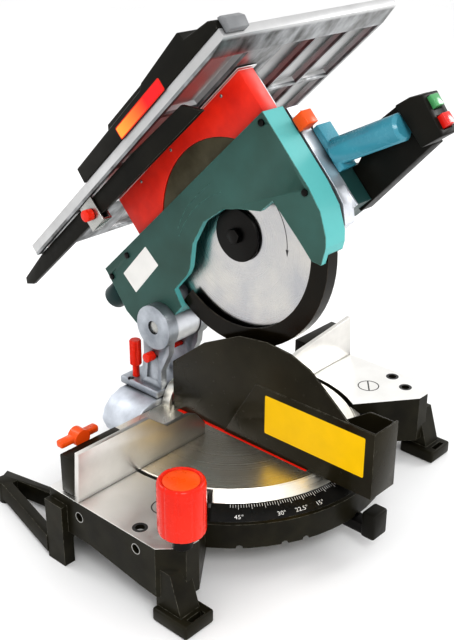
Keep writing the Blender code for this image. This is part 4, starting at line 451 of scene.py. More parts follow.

# %% [markdown]
# ## Painted castings
# The base is an aluminium casting sprayed a near-black olive. Spray paint over a sand casting keeps a fine
# orange peel, shines softly, and wears to a warm grey on its corners; that lighter edge tone is also a
# painted highlight. The same recipe with other tones does the rip fence clamp, the scale, the inner disc and
# the red hood, whose folded flange is left bare.

# %% Paint
OLIVE_DARK = (0.008, 0.007, 0.004)
OLIVE_LIGHT = (0.018, 0.016, 0.009)
# A lighter edge tone: partly rubbed paint, partly a painted highlight.
OLIVE_EDGE_RUB_AND_HIGHLIGHT = (0.34, 0.33, 0.27)
BARE_STEEL = (0.62, 0.62, 0.62)
FLANGE_START = 127.6 * MM


def cast_paint(name, dark, light, edge_rub_and_highlight_tone, peel=0.05 * MM, gloss=(0.30, 0.45), edge=0.7 * MM, rubbed_edges_and_highlight=0.6,
               shine=0.12):
    paint = Finish(name, dark)
    paint.rounded_edges(edge, 0.995, 0.92)
    paint.vary(35, dark, light)
    # Lighter edges: rubbed paint and a painted highlight.
    paint.rubbed_edges_and_highlight(edge_rub_and_highlight_tone, rubbed_edges_and_highlight)
    paint.gloss(60, *gloss)
    paint.bump(paint.noise(900, detail=3), 0.35, peel)
    paint.shader.inputs["Specular IOR Level"].default_value = shine
    return paint


black_paint = cast_paint("black_casting_paint", OLIVE_DARK, OLIVE_LIGHT, OLIVE_EDGE_RUB_AND_HIGHLIGHT)
hood_paint = cast_paint("red_hood_paint", (0.62, 0.016, 0.006), (0.82, 0.028, 0.009), (0.90, 0.22, 0.10),
                        peel=0.02 * MM, gloss=(0.28, 0.40), edge=0.6 * MM, rubbed_edges_and_highlight=0.5, shine=0.25)
# Painted shade in the hood's hollows and corners.
hood_paint.hollows(25 * MM, 0.45)
flange_share = hood_paint.beyond(LIFT, FLANGE_START, origin=BLADE_AXIS)
hood_paint.show(hood_paint.blend(flange_share, hood_paint.tone, BARE_STEEL))
hood_paint.drive("Metallic", flange_share)
grey_paint = cast_paint("grey_clamp_paint", (0.16, 0.165, 0.17), (0.22, 0.225, 0.23), (0.5, 0.5, 0.5))
scale_black = cast_paint("black_scale_paint", (0.008, 0.008, 0.008), (0.016, 0.015, 0.013),
                         (0.3, 0.3, 0.3), gloss=(0.2, 0.3))
inner_look = cast_paint("inner_plate_paint", (0.055, 0.048, 0.030), (0.105, 0.095, 0.062),
                        (0.20, 0.19, 0.15))
print("paints: black casting, red hood, grey, scale black, inner plate")

# %% [markdown]
# ## Machined and cast metal
# A milled face is bright because it is flat, and streaked because the cutter leaves fine lines one way.
# Stretching a noise along one axis gives those lines. Rough castings get the opposite: round grains, no
# direction, and painted shade darkening their hollows.

# %% Milled and cast metal


def milled(name, tone, stretch, roughness=(0.24, 0.38), depth=0.02 * MM, grain=500):
    metal = Finish(name, tone, metallic=1.0)
    metal.rounded_edges(0.6 * MM)
    metal.vary(16, tuple(0.74 * value for value in tone), tone)
    # Painted shade where other faces stand close.
    metal.hollows(6 * MM, 0.4)
    metal.gloss(grain, *roughness, stretch=stretch)
    metal.bump(metal.noise(grain, stretch, detail=2), 0.12, depth)
    return metal


def rough_cast(name, dark, light, depth=0.12 * MM, roughness=(0.38, 0.55)):
    metal = Finish(name, light, metallic=0.9)
    metal.rounded_edges(1.2 * MM)
    metal.vary(40, dark, light)
    # Painted shade where other faces stand close.
    metal.hollows(14 * MM, 0.22)
    metal.gloss(90, *roughness)
    metal.bump(metal.noise(700, detail=5, roughness=0.7), 0.5, depth)
    return metal


fence_metal = milled("milled_fence", (0.80, 0.78, 0.74), (0.04, 1, 1.4), roughness=(0.3, 0.42))
zinc = milled("plated_steel", (0.46, 0.46, 0.44), (1, 1, 1), roughness=(0.2, 0.34), depth=0.01 * MM)
dark_steel = milled("blackened_steel", (0.022, 0.021, 0.02), (1, 1, 1), roughness=(0.3, 0.45))
cast_metal = rough_cast("sand_cast_aluminium", (0.26, 0.28, 0.31), (0.50, 0.53, 0.57))
light_cast = rough_cast("blasted_aluminium", (0.50, 0.53, 0.58), (0.72, 0.76, 0.82), depth=0.06 * MM,
                        roughness=(0.42, 0.58))
print("metals: fence, zinc, dark steel, two castings")

# %% [markdown]
# ## A table that is milled on one side
# The saw table is one casting. Its underside is mottled and its top is milled, so the finish asks how far a
# point lies up from the blade's axis and changes over just under the top face.

# %% Saw table finish
MILLED_FROM = 133.4 * MM

table_metal = Finish("cast_table_milled_top", (0.6, 0.6, 0.6), metallic=0.95)
table_metal.rounded_edges(0.6 * MM)
table_metal.vary(55, (0.07, 0.07, 0.066), (0.40, 0.41, 0.42), stretch=(1, 0.6, 0.6))
# Painted shade among the ribs and corners.
table_metal.hollows(18 * MM, 0.25)
milled_share = table_metal.beyond(LIFT, MILLED_FROM, blur=0.3 * MM, origin=BLADE_AXIS)
milled_tone = table_metal.blend(table_metal.drift(table_metal.noise(14)), (0.46, 0.46, 0.46),
                                (0.62, 0.62, 0.62))
table_metal.show(table_metal.blend(milled_share, table_metal.tone, milled_tone))
table_metal.gloss(500, 0.30, 0.46, stretch=(1, 0.05, 0.05))
table_metal.bump(table_metal.noise(260, detail=4), 0.3, 0.12 * MM)
print("saw table finish made")

# %% [markdown]
# ## Faces that turned under the tool
# Discs that turned while they were cut, such as the turntable and the blade, need lines that run round
# their middle, so their coordinates are first turned into a distance from the axis. The blade also
# stretches its highlights round the axis, which gives it the two bright fans of ground steel.

# %% Turntable and blade finishes
TURNTABLE_LINES = 900
BLADE_LINES = 1400

turned_metal = Finish("turned_aluminium", (0.80, 0.79, 0.78), metallic=1.0)
turned_metal.rounded_edges(0.6 * MM)
turned_metal.vary(11, (0.80, 0.76, 0.66), (0.94, 0.92, 0.86))
table_rings = turned_metal.rings(BASE.translation, (1, 1, 0), TURNTABLE_LINES)
turned_metal.drive("Roughness", turned_metal.drift(table_rings, 0.26, 0.44))
turned_metal.bump(table_rings, 0.12, 0.01 * MM)

blade_metal = Finish("ground_blade_steel", (0.56, 0.56, 0.58), metallic=1.0, roughness=0.24)
blade_rings = blade_metal.rings(BLADE_AXIS, (0, 1, 1), BLADE_LINES)
blade_metal.vary(13, (0.40, 0.41, 0.45), (0.62, 0.60, 0.56))
blade_metal.drive("Roughness", blade_metal.drift(blade_rings, 0.20, 0.34))
blade_metal.bump(blade_rings, 0.2, 0.01 * MM)
blade_metal.shader.inputs["Anisotropic"].default_value = 0.85
sweep = blade_metal.node("ShaderNodeTangent", direction_type="RADIAL", axis="X")
blade_metal.drive("Tangent", sweep.outputs["Tangent"])
print("metals: turntable, blade")

# %% [markdown]
# ## Moulded plastic
# The covers and the handle are moulded in a steel tool that was spark-eroded, which leaves a fine leathery
# grain and a soft sheen. Knobs are smoother and glossier. Where a bright tone is given, it is a painted
# highlight along the edges.

# %% Plastics


def moulded(name, dark, light, gloss=(0.3, 0.42), depth=0.04 * MM, coat=0.0, bright=None, shine=0.25):
    plastic = Finish(name, light)
    plastic.rounded_edges(0.8 * MM, 0.995, 0.92)
    plastic.vary(12, dark, light)
    # bright: the tone of a painted highlight along the edges.
    if bright:
        plastic.rubbed_edges_and_highlight(bright, 0.75, 120)
    plastic.gloss(120, *gloss)
    plastic.bump(plastic.noise(1500, detail=2), 0.3, depth)
    plastic.shader.inputs["Coat Weight"].default_value = coat
    plastic.shader.inputs["Coat Roughness"].default_value = 0.12
    plastic.shader.inputs["Specular IOR Level"].default_value = shine
    return plastic


SMOOTH = 0.01 * MM
black_plastic = moulded("black_plastic", (0.006, 0.006, 0.005), (0.013, 0.012, 0.009), gloss=(0.34, 0.48),
                        bright=(0.20, 0.20, 0.17), shine=0.1)
cover_plastic = moulded("smoky_cover_plastic", (0.011, 0.009, 0.004), (0.026, 0.022, 0.012), shine=0.12,
                        gloss=(0.20, 0.28), bright=(0.42, 0.41, 0.35), depth=SMOOTH)
guard_plastic = moulded("dark_brown_guard", (0.004, 0.003, 0.001), (0.010, 0.007, 0.003), shine=0.15,
                        gloss=(0.16, 0.24), bright=(0.16, 0.13, 0.10), depth=SMOOTH)
teal_plastic = moulded("teal_handle_plastic", (0.035, 0.20, 0.27), (0.070, 0.30, 0.38), coat=0.25,
                       gloss=(0.22, 0.30), bright=(0.16, 0.40, 0.50), depth=SMOOTH)
red_plastic = moulded("red_knob_plastic", (0.60, 0.014, 0.004), (0.76, 0.026, 0.008), coat=0.1,
                      gloss=(0.22, 0.30), bright=(0.90, 0.10, 0.02), depth=SMOOTH, shine=0.2)
orange_plastic = moulded("orange_plastic", (0.72, 0.07, 0.006), (0.84, 0.12, 0.01), coat=0.1,
                         gloss=(0.25, 0.35))
green_button_look = moulded("green_button_plastic", (0.05, 0.24, 0.08), (0.09, 0.34, 0.13), coat=0.3,
                            gloss=(0.12, 0.2))
red_button_look = moulded("red_button_plastic", (0.56, 0.012, 0.008), (0.70, 0.02, 0.012), coat=0.3,
                          gloss=(0.12, 0.2))
motor_plastic = moulded("green_motor_plastic", (0.016, 0.075, 0.066), (0.026, 0.11, 0.098),
                        bright=(0.2, 0.5, 0.44))
port_look = moulded("dark_port_plastic", (0.006, 0.024, 0.024), (0.010, 0.036, 0.035),
                    bright=(0.05, 0.20, 0.19), shine=0.15)
print("plastics: black, smoky, brown, teal, red, orange, buttons, motor, port")

# %% [markdown]
# ## Two finishes on one piece
# Three more pieces change their finish where a plane cuts them. The green cover's rim is painted a lighter
# teal than its flat face, as painted light on its lit side walls, so the lighter tone starts a hair behind the
# face, and its edges get a painted highlight. The head casting is bare metal beside the blade and painted
# where the motor sits. The base is painted, but its decks are milled bright.

# %% Green cover, head casting and base
SEAT_START = 34.4 * MM

green_plastic = Finish("green_cover_plastic", (0.03, 0.11, 0.09))
green_plastic.rounded_edges(1.0 * MM, 0.995, 0.92)
green_plastic.vary(9, (0.028, 0.062, 0.050), (0.044, 0.118, 0.102))
cover_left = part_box("green_cover")[0].x
# Painted light: a lighter teal on the rim stands for the light on its side walls.
lit_rim_share = green_plastic.beyond(ACROSS, cover_left + 0.7 * MM, blur=0.5 * MM)
green_plastic.show(green_plastic.blend(lit_rim_share, green_plastic.tone, (0.12, 0.43, 0.42)))
# Painted highlight along the cover's edges.
green_plastic.rubbed_edges_and_highlight((0.22, 0.52, 0.46), 0.7, 150)
green_plastic.gloss(100, 0.30, 0.42)
green_plastic.bump(green_plastic.noise(1300, detail=3), 0.35, 0.06 * MM)
green_plastic.shader.inputs["Specular IOR Level"].default_value = 0.2

casting_look = rough_cast("head_casting_and_motor_seat", (0.66, 0.68, 0.72), (0.84, 0.86, 0.90),
                          depth=0.05 * MM, roughness=(0.4, 0.55))
seat_share = casting_look.beyond(ACROSS, SEAT_START)
casting_look.show(casting_look.blend(seat_share, casting_look.tone, (0.010, 0.045, 0.042)))
casting_look.drive("Metallic", casting_look.ranged(seat_share, 0.0, 1.0, 0.9, 0.0))

base_look = cast_paint("painted_base_milled_deck", OLIVE_DARK, OLIVE_LIGHT, OLIVE_EDGE_RUB_AND_HIGHLIGHT)
off_deck = base_look.maths("ABSOLUTE", base_look.along(UP, (0, 0, DECK_TOP)))
on_deck = base_look.ranged(off_deck, 0.25 * MM, 0.35 * MM, 1.0, 0.0)
deck_tone = base_look.blend(base_look.drift(base_look.noise(12)), (0.80, 0.79, 0.76), (0.95, 0.94, 0.92))
base_look.show(base_look.blend(on_deck, base_look.tone, deck_tone))
base_look.drive("Metallic", on_deck)
print("two-tone finishes: green cover, head casting, base")

# %% [markdown]
# ## Dressing the castings
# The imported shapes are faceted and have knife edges, as solids from a boolean kernel do. Each one gets a
# dressed copy that stands for it: doubled points are merged, flat triangles joined back into whole faces,
# the sharp edges rounded with a real bevel where every edge is long enough, and round walls shaded smooth.
# Nothing grows outwards, because a bevel only cuts corners and fills inner ones.

# %% Dress one node
DOUBLED = 0.01 * MM
FLAT_ANGLE = math.radians(0.6)
EDGE_ANGLE = math.radians(40)
LEAST_BEVEL = 0.12 * MM
EDGE_SHARE = 0.4
WALL_ANGLE = 32
# Flat faces that run all round an opening: merged into one face they would close it.
ring_faced = {"crown_guard"}
rounded_by = {}


def round_edges(shape, edge):
    """Bevels the sharp edges by as much as the shortest edge at their ends allows."""
    sharp = [e for e in shape.edges if len(e.link_faces) == 2 and e.calc_face_angle(0) > EDGE_ANGLE]
    ends = {vert for e in sharp for vert in e.verts}
    shortest = min((e.calc_length() for vert in ends for e in vert.link_edges), default=0)
    width = min(edge, EDGE_SHARE * shortest)
    if width > LEAST_BEVEL:
        bmesh.ops.bevel(shape, geom=sharp, offset=width, segments=2, profile=0.5, affect="EDGES",
                        clamp_overlap=True)
    return width


def dress(node, look, edge):
    """Stands a cleaned copy with rounded edges in a node's place."""
    shape = bmesh.new()
    shape.from_mesh(nodes[node].data)
    bmesh.ops.remove_doubles(shape, verts=shape.verts, dist=DOUBLED)
    if node not in ring_faced:
        bmesh.ops.dissolve_limit(shape, angle_limit=FLAT_ANGLE, verts=shape.verts, edges=shape.edges,
                                 use_dissolve_boundaries=False)
    if edge:
        rounded_by[node] = round(round_edges(shape, edge) / MM, 2)
    mesh = bpy.data.meshes.new(node + "_dressed")
    shape.to_mesh(mesh)
    shape.free()
    smoothed(mesh, WALL_ANGLE)
    piece = put_on(shown(node + "_dressed", mesh), body_of[node], look.look)
    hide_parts(node)


print("dress() is ready")

# %% [markdown]
# ## Which finish goes where
# A table keeps the choice readable: one row for a finish, how far its edges are rounded in millimetres, and
# its nodes. Castings have the softest edges, sheet metal and milled faces the crispest.

# %% Dress every node
wardrobe = [
    (base_look, 0.8, ["base_casting"]),
    (black_paint, 1.2, ["outrigger_left", "outrigger_right", "left_fence_frame", "right_fence_frame"]),
    (inner_look, 0.0, ["inner_disc"]),
    (fence_metal, 0.4, ["left_fence", "right_fence"]),
    (turned_metal, 0.5, ["turntable", "bevelled_ring"]),
    (table_metal, 0.6, ["top_table"]),
    (light_cast, 1.0, ["tilt_arm"]),
    (casting_look, 0.6, ["head_casting"]),
    (cast_metal, 0.8, ["hinge_bracket", "gear_housing"]),
    (zinc, 0.3, ["turntable_bolt", "bevel_pivot_bolt", "hinge_pin", "arbor_and_gear", "riving_knife",
                 "stick_clip", "flange_bolt_left", "flange_bolt_right"]),
    (dark_steel, 0.4, ["lock_arm", "return_spring", "cover_screw_1", "cover_screw_2", "cover_screw_3",
                       "cover_screw_4", "outer_flange", "arbor_bolt", "motor_rotor"]),
    (blade_metal, 0.0, ["saw_blade"]),
    (green_plastic, 1.0, ["green_cover"]),
    (motor_plastic, 1.0, ["motor_housing", "motor_end_cap"]),
    (port_look, 0.6, ["dust_port"]),
    (teal_plastic, 1.2, ["handle_grip"]),
    (hood_paint, 0.5, ["blade_hood"]),
    (red_plastic, 0.8, ["kerf_insert", "bevel_lock_knob", "transport_lock_pin", "clip_knob"]),
    (orange_plastic, 1.5, ["wing_knob", "release_button"]),
    (red_button_look, 0.8, ["off_button"]),
    (green_button_look, 0.8, ["on_button"]),
    (black_plastic, 1.0, ["lock_grip", "cord_gland", "handle_housing", "switch_box", "crown_guard",
                          "rip_fence", "push_stick", "height_lock_knob"]),
    (cover_plastic, 0.5, ["lower_cover"]),
    (guard_plastic, 0.5, ["lower_guard"]),
    (scale_black, 0.3, ["mitre_scale"]),
    (grey_paint, 0.8, ["rip_fence_clamp"]),
]
dressed = set()
for look, edge, members in wardrobe:
    for node in members:
        dress(node, look, edge * MM)
        dressed.add(node)
print("dressed", len(dressed), "nodes, made on their own:", sorted(set(nodes) - dressed))
print("edges rounded by, mm:", rounded_by)

# %% [markdown]
# ## Mitre scale
# The black ring carries a white degree scale: a short line for every degree, a longer one every five, and
# figures at the angles that people saw most. The lines are thin slips of paint laid on the slope of the
# ring, so they are placed in a frame that leans with it.

# %% Scale marks
SCALE_INNER = 162 * MM
SCALE_OUTER = 185 * MM
SCALE_FALL = 8 * MM
SCALE_DEGREES = 48
PRINT_LIFT = 0.06 * MM
LINE_INSET = 1.2 * MM
LINE_WIDTH = 0.42 * MM
LINE_HEIGHT = 0.16 * MM
LONG_LINE = 6.5 * MM
SHORT_LINE = 4.2 * MM
slope = math.atan2(SCALE_FALL, SCALE_OUTER - SCALE_INNER)
scale_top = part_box("mitre_scale")[1].z

white_print = Finish("white_scale_print", (0.80, 0.80, 0.78), roughness=0.5)
white_print.vary(300, (0.60, 0.60, 0.58), (0.86, 0.86, 0.84))


def on_scale(degrees, radius):
    """A place on the sloping ring: X runs round it, Y outwards and down the slope, Z off the paint."""
    angle = math.radians(degrees)
    out = Vector((math.sin(angle), -math.cos(angle), 0))
    down = (radius - SCALE_INNER) * math.tan(slope)
    along = (out * math.cos(slope) - UP * math.sin(slope)).normalized()
    normal = (out * math.sin(slope) + UP * math.cos(slope)).normalized()
    spot = BASE.translation + out * radius + UP * (scale_top - down) + normal * PRINT_LIFT
    return Matrix.Translation(spot) @ Matrix((-normal.cross(along), along, normal)).transposed().to_4x4()


marks = bmesh.new()
for degree in range(-SCALE_DEGREES, SCALE_DEGREES + 1):
    length = LONG_LINE if degree % 5 == 0 else SHORT_LINE
    slip = bmesh.ops.create_cube(marks, size=1)["verts"]
    size = Matrix.Diagonal((LINE_WIDTH, length, LINE_HEIGHT, 1))
    bmesh.ops.transform(marks, matrix=on_scale(degree, SCALE_INNER + LINE_INSET + length / 2) @ size,
                        verts=slip)
put_on(piece_from(marks, "scale_marks", Matrix.Identity(4)), "base", white_print.look)
print("scale:", 2 * SCALE_DEGREES + 1, "lines, slope", round(math.degrees(slope), 1))

# %% [markdown]
# ## Figures on the scale
# A figure is a text curve made solid, a tenth of a millimetre thick. It stands with its foot towards the
# edge of the ring, so it is turned by half a turn from the frame that leans outwards.

# %% Figures
FIGURE_SIZE = 7.5 * MM
FIGURE_INSET = 6 * MM
FIGURE_HEIGHT = 0.1 * MM
FIGURE_ANGLES = (0, 15, 22.5, 30, 45)


def figure(text, name, place):
    """A short word of raised print on the base."""
    words = bpy.data.curves.new(name, "FONT")
    words.body = text
    words.size = FIGURE_SIZE
    words.extrude = FIGURE_HEIGHT / 2
    words.align_x = "CENTER"
    words.align_y = "CENTER"
    words.resolution_u = 3
    mesh = mesh_of_curve(name, words)
    mesh.transform(place)
    put_on(shown(name, mesh), "base", white_print.look)


figures = 0
for angle in FIGURE_ANGLES:
    for turned_to in {angle, -angle}:
        label = f"{angle}".replace(".", "_")
        hand = "l" if turned_to < 0 else "r"
        upright = Matrix.Rotation(math.pi, 4, "Z")
        place = on_scale(turned_to, SCALE_OUTER - FIGURE_INSET) @ upright
        figure(f"{angle}°", f"figure_{label}_{hand}", place)
        figures += 1
print(figures, "figures on the scale")

# %% [markdown]
# ## Plates and labels
# The saw wears a long yellow plate on the lower blade cover and a small white one at the rear of the green
# cover. Here they stay blank. A sticker has rounded corners, almost no thickness and its own gloss, and its
# print sits a little uneven.

# %% Plates
PLATE_FOOT = 0.02 * MM
YELLOW_CORNERS = oblong(-212.4, -74.8, 111.3, 159.7)
WHITE_CORNERS = in_metres([(128, 60), (125, 32), (186.5, 26), (189, 55)])
# X of the plate runs back along the saw, Y upwards, and Z out to the left.
LEFTWARDS = Matrix(((0, 0, -1), (1, 0, 0), (0, 1, 0))).to_4x4()


def sticker(name, tone):
    film = Finish(name, tone, roughness=0.35)
    film.vary(40, tuple(0.93 * value for value in tone), tone)
    film.bump(film.noise(160), 0.15, 0.03 * MM)
    film.shader.inputs["Specular IOR Level"].default_value = 0.2
    return film


def on_left_of(node):
    """A place on the left face of a node that rides on the head, counted from the blade's axis."""
    return HEAD @ Matrix.Translation((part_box(node)[0].x, 0, 0)) @ LEFTWARDS


yellow_film = sticker("yellow_plate_film", (0.82, 0.50, 0.003))
white_film = sticker("white_label_film", (0.84, 0.83, 0.80))
box_side = Matrix.Translation((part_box("lower_cover")[0].x, BASE.translation.y, 0)) @ LEFTWARDS
yellow_plate = plate("yellow_plate", rounded(YELLOW_CORNERS, 2 * MM), PLATE_FOOT, 0.35 * MM, box_side)
put_on(yellow_plate, "blade_cover", yellow_film.look)
white_label = plate("white_label", rounded(WHITE_CORNERS, 1.2 * MM), PLATE_FOOT, 0.3 * MM,
                    on_left_of("green_cover"))
put_on(white_label, "head", white_film.look)
print("plates: yellow and white are on")

# %% [markdown]
# ## Finding a surface
# Rings round holes and screws must sit exactly on a casting. Typing every height would be fragile, so a ray
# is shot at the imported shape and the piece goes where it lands.

# %% Touch a node
trees = {}


def touch(node, start, direction):
    """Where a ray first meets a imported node."""
    if node not in trees:
        mesh = nodes[node].data
        corners = [vertex.co for vertex in mesh.vertices]
        trees[node] = BVHTree.FromPolygons(corners, [face.vertices[:] for face in mesh.polygons])
    point = trees[node].ray_cast(Vector(start), Vector(direction))[0]
    if point is None:
        raise ValueError(f"nothing of {node} lies that way")
    return point


print("touch() is ready")

# %% [markdown]
# ## Holes with bright rims
# Where a drill went through paint, it leaves a bright chamfer. Each rod hole in the base's side walls gets
# a thin bright ring with small chamfers of its own.

# %% Rims of the rod holes
SIDES = ((-1, "left"), (1, "right"))
HOLE_PLACES = in_metres([(0, 0, 70), (0, -88, 74)])
RIM_INNER = 5.1 * MM
RIM_OUTER = 6.3 * MM
# A ray that passes beside the hole meets the wall, and starts well outside it.
BESIDE_HOLE = 6.4 * MM
OUTSIDE = 0.4

for sign, side_name in SIDES:
    for number, hole in enumerate(HOLE_PLACES, 1):
        middle = BASE @ Vector(hole)
        wall = touch("base_casting", middle + Vector((sign * OUTSIDE, 0, BESIDE_HOLE)), (-sign, 0, 0))
        at = Vector((wall.x, middle.y, middle.z))
        rim = washer(f"rod_hole_rim_{side_name}_{number}", RIM_INNER, RIM_OUTER, -0.3 * MM, 0.15 * MM,
                     facing(at, (sign, 0, 0), (0, 1, 0)))
        put_on(rim, "base", zinc.look)
print(len(HOLE_PLACES), "rims on each side")

# %% [markdown]
# ## Deck marks
# Both wings carry a round mark near the turntable and countersinks round their screw holes. All of
# them are thin black rings, and the round mark also has a bar across it. The countersinks' black rings are
# painted shade, standing for the dark inside each recess.

# %% Deck marks
MARK_X = 183 * MM
MARK_Y = -71 * MM
MARK_INNER = 12.4 * MM
MARK_OUTER = 13.8 * MM
MARK_LOW = -0.1 * MM
MARK_HIGH = 0.12 * MM
BAR_CORNERS = oblong(-12.6, 12.6, -0.9, 0.9)
BAR_TURN = math.radians(40)
SINK_PLACES = in_metres([(225, -79), (212, -108)])
SINK_INNER = 5.0 * MM
SINK_OUTER = 8.2 * MM

# Black print; the same finish is painted shade in recesses that are not cut.
print_and_recess_shade = Finish("black_print_and_recess_shade", (0.012, 0.012, 0.012), roughness=0.45)
print_and_recess_shade.vary(200, (0.006, 0.006, 0.006), (0.03, 0.03, 0.03))


def on_deck_at(x, y):
    return Matrix.Translation((x, BASE.translation.y + y, DECK_TOP))


for sign, side_name in SIDES:
    spot = on_deck_at(sign * MARK_X, MARK_Y)
    ring = washer(f"deck_mark_{side_name}", MARK_INNER, MARK_OUTER, MARK_LOW, MARK_HIGH, spot)
    put_on(ring, "base", print_and_recess_shade.look)
    bar = plate(f"deck_bar_{side_name}", rounded(BAR_CORNERS, 0.4 * MM), MARK_LOW, MARK_HIGH,
                spot @ Matrix.Rotation(BAR_TURN, 4, "Z"))
    put_on(bar, "base", print_and_recess_shade.look)
    # Painted shade: a flat black ring in place of each countersink's recess.
    for number, (x, y) in enumerate(SINK_PLACES, 1):
        sink = washer(f"countersink_{side_name}_{number}", SINK_INNER, SINK_OUTER, -0.2 * MM, 0.1 * MM,
                      on_deck_at(sign * x, y))
        put_on(sink, "base", print_and_recess_shade.look)
print("deck marks and countersinks on both wings")

# %% [markdown]
# ## Rip fence label
# The label on the rip fence fades from red to orange along its length. A gradient in object coordinates
# would need the label's own frame, so the share is the distance along the saw table from the blade's axis.

# %% Fading label
FADE_START = -60 * MM
FADE_END = -5 * MM
LABEL_CORNERS = oblong(-91.0, 0.5, 145.0, 157.4)
BORDER_CORNERS = oblong(-92.3, 1.8, 143.8, 158.6)

fade_film = sticker("red_to_orange_film", (0.80, 0.03, 0.02))
fade_share = fade_film.ranged(fade_film.along(BACK, BLADE_AXIS), FADE_START, FADE_END, 0.0, 1.0)
fade_film.show(fade_film.blend(fade_share, (0.72, 0.012, 0.016), (0.90, 0.36, 0.05)))
fence_side = on_left_of("rip_fence")
fade_label = plate("rip_fence_label", rounded(LABEL_CORNERS, 1.5 * MM), PLATE_FOOT, 0.3 * MM, fence_side)
put_on(fade_label, "rip_fence", fade_film.look)
border = plate("rip_fence_label_border", rounded(BORDER_CORNERS, 2.2 * MM), 0.0, PLATE_FOOT, fence_side)
put_on(border, "rip_fence", red_plastic.look)
print("fading label is on the rip fence")

# %% [markdown]
# ## Blade arrow
# A blade shows which way it turns by a long curved arrow. It is printed, so it is a paper-thin slip that
# follows a circle round the axis and rides on the blade.

# %% Arrow on the blade
ARROW_RADIUS = 69 * MM
ARROW_ANGLES = range(164, 226, 4)
ARROW_HALF_WIDTH = 0.45 * MM
ARROW_HEIGHTS = (0.02 * MM, 0.1 * MM)
TIP_LENGTH = 8 * MM
TIP_HALF_WIDTH = 2 * MM

blade_side = on_left_of("saw_blade")
radials = [Vector((math.cos(math.radians(a)), math.sin(math.radians(a)), 0)) for a in ARROW_ANGLES]
shaft = bmesh.new()
rows = []
for out in radials:
    rows.append([shaft.verts.new(out * (ARROW_RADIUS + way * ARROW_HALF_WIDTH) + UP * height)
                 for height in ARROW_HEIGHTS for way in (-1, 1)])
for here, there in zip(rows, rows[1:]):
    for a, b in ((0, 1), (1, 3), (3, 2), (2, 0)):
        shaft.faces.new((here[a], here[b], there[b], there[a]))
shaft.faces.new([rows[0][k] for k in (0, 1, 3, 2)])
shaft.faces.new([rows[-1][k] for k in (0, 2, 3, 1)])
put_on(piece_from(shaft, "blade_arrow_shaft", blade_side), "blade", print_and_recess_shade.look)
tip = radials[-1] * ARROW_RADIUS
run = (radials[-1] - radials[-2]).normalized()
outwards = Vector((-run.y, run.x, 0)) * TIP_HALF_WIDTH
corners = [tip + outwards, tip + run * TIP_LENGTH, tip - outwards]
arrow_head = plate("blade_arrow_head", [corner.to_2d() for corner in corners], *ARROW_HEIGHTS, blade_side)
put_on(arrow_head, "blade", print_and_recess_shade.look)
print("arrow follows a circle of", round(ARROW_RADIUS / MM), "mm")

# %% [markdown]
# ## Ribs on the cover
# Two thin arcs are moulded round the arbor on the cover's flat face. Each one is a raised line through a few
# points counted from the blade's axis.

# %% Cover ribs
RIB_RADIUS = 0.35 * MM
RIB_PATHS = [
    [(67.7, 40.8), (50.2, 47.0), (28.1, 51.6), (10.5, 51.8), (-8, 49.5), (-26.0, 44.3)],
    [(62.3, 48.5), (48, 54.5), (33.9, 59.0), (10.3, 60.9), (-16.7, 60.3)],
]

for number, path in enumerate(RIB_PATHS, 1):
    points = [(cover_left, y, z) for y, z in in_metres(path)]
    put_on(ridge(f"cover_rib_{number}", points, RIB_RADIUS, HEAD), "head", green_plastic.look)
print(len(RIB_PATHS), "ribs on the green cover")

# %% [markdown]
# ## Clamp knob
# The knob that holds the work down is the nearest thing to the camera, so it is modelled afresh: a grip
# turned from its profile with ten shallow flutes, a paler cap sunk inside its rim, and a neck on a stud.

# %% Clamp knob
KNOB_CLEARANCE = 0.1 * MM
FLUTES = 10
FLUTE_SHARE = 0.028
FLUTE_SHARPNESS = 8
GRIP_STEPS = 160
# Points in millimetres. Rim and cap count inwards from the grip's reach and down from its top, the shoulder
# inwards and up from the deck, and the foot and the stud outwards from the axis and up from the deck.
RIM_DROPS = [(0, 5), (0.5, 2.4), (1.7, 0.6), (3.2, 0), (4.4, 0.5), (4.8, 1.8)]
FOOT_POINTS = [(9, 18.2)]
SHOULDER_POINTS = [(3, 18.3), (0.8, 19.4), (0, 22)]
CAP_DROPS = [(6, 3), (6, 1.6), (7, 1.1)]
STUD_POINTS = [(0, -19.8), (3.4, -19.8), (4, -19.2), (4, 0.2), (10.4, 0.3), (11, 0.9), (11, 17),
               (9.5, 18.2), (0, 19)]


def flute(angle):
    """Narrow grooves: the radius dips only close to each flute's middle."""
    return 1 - FLUTE_SHARE * max(0.0, math.cos(FLUTES * angle)) ** FLUTE_SHARPNESS


knob_low, knob_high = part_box("clamp_knob")
knob_middle = (knob_low + knob_high) / 2
knob_place = Matrix.Translation((knob_middle.x, knob_middle.y, DECK_TOP))
reach = (knob_high.x - knob_low.x) / 2 - KNOB_CLEARANCE
top = knob_high.z - DECK_TOP
inner_foot = in_metres(FOOT_POINTS)
shoulder = [(reach - inwards * MM, height * MM) for inwards, height in SHOULDER_POINTS]
rim = [(reach - inwards * MM, top - drop * MM) for inwards, drop in RIM_DROPS]
grip = turned("clamp_knob_grip", [*inner_foot, *shoulder, *rim, (inner_foot[0][0], top - 2 * MM)],
              knob_place, steps=GRIP_STEPS, wave=flute)
cap_edge = [(reach - inwards * MM, top - drop * MM) for inwards, drop in CAP_DROPS]
cap = turned("clamp_knob_cap", [(0, cap_edge[0][1]), *cap_edge, (0, top - 0.7 * MM)], knob_place)
stud = turned("clamp_knob_stud", in_metres(STUD_POINTS), knob_place)
put_on(grip, "clamp", red_plastic.look)
put_on(cap, "clamp", orange_plastic.look)
put_on(stud, "clamp", dark_steel.look)
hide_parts("clamp_knob")
print("clamp knob reaches", round(reach / MM, 1), "mm and stands", round(top / MM, 1), "mm over the deck")

# %% [markdown]
# ## Hood screws
# Three pan-head screws hold the hood's bright flange. A pan head is a turned dome, given here as shares of
# its radius and height, with a dark cross where the driver goes: painted shade that stands for the recess.

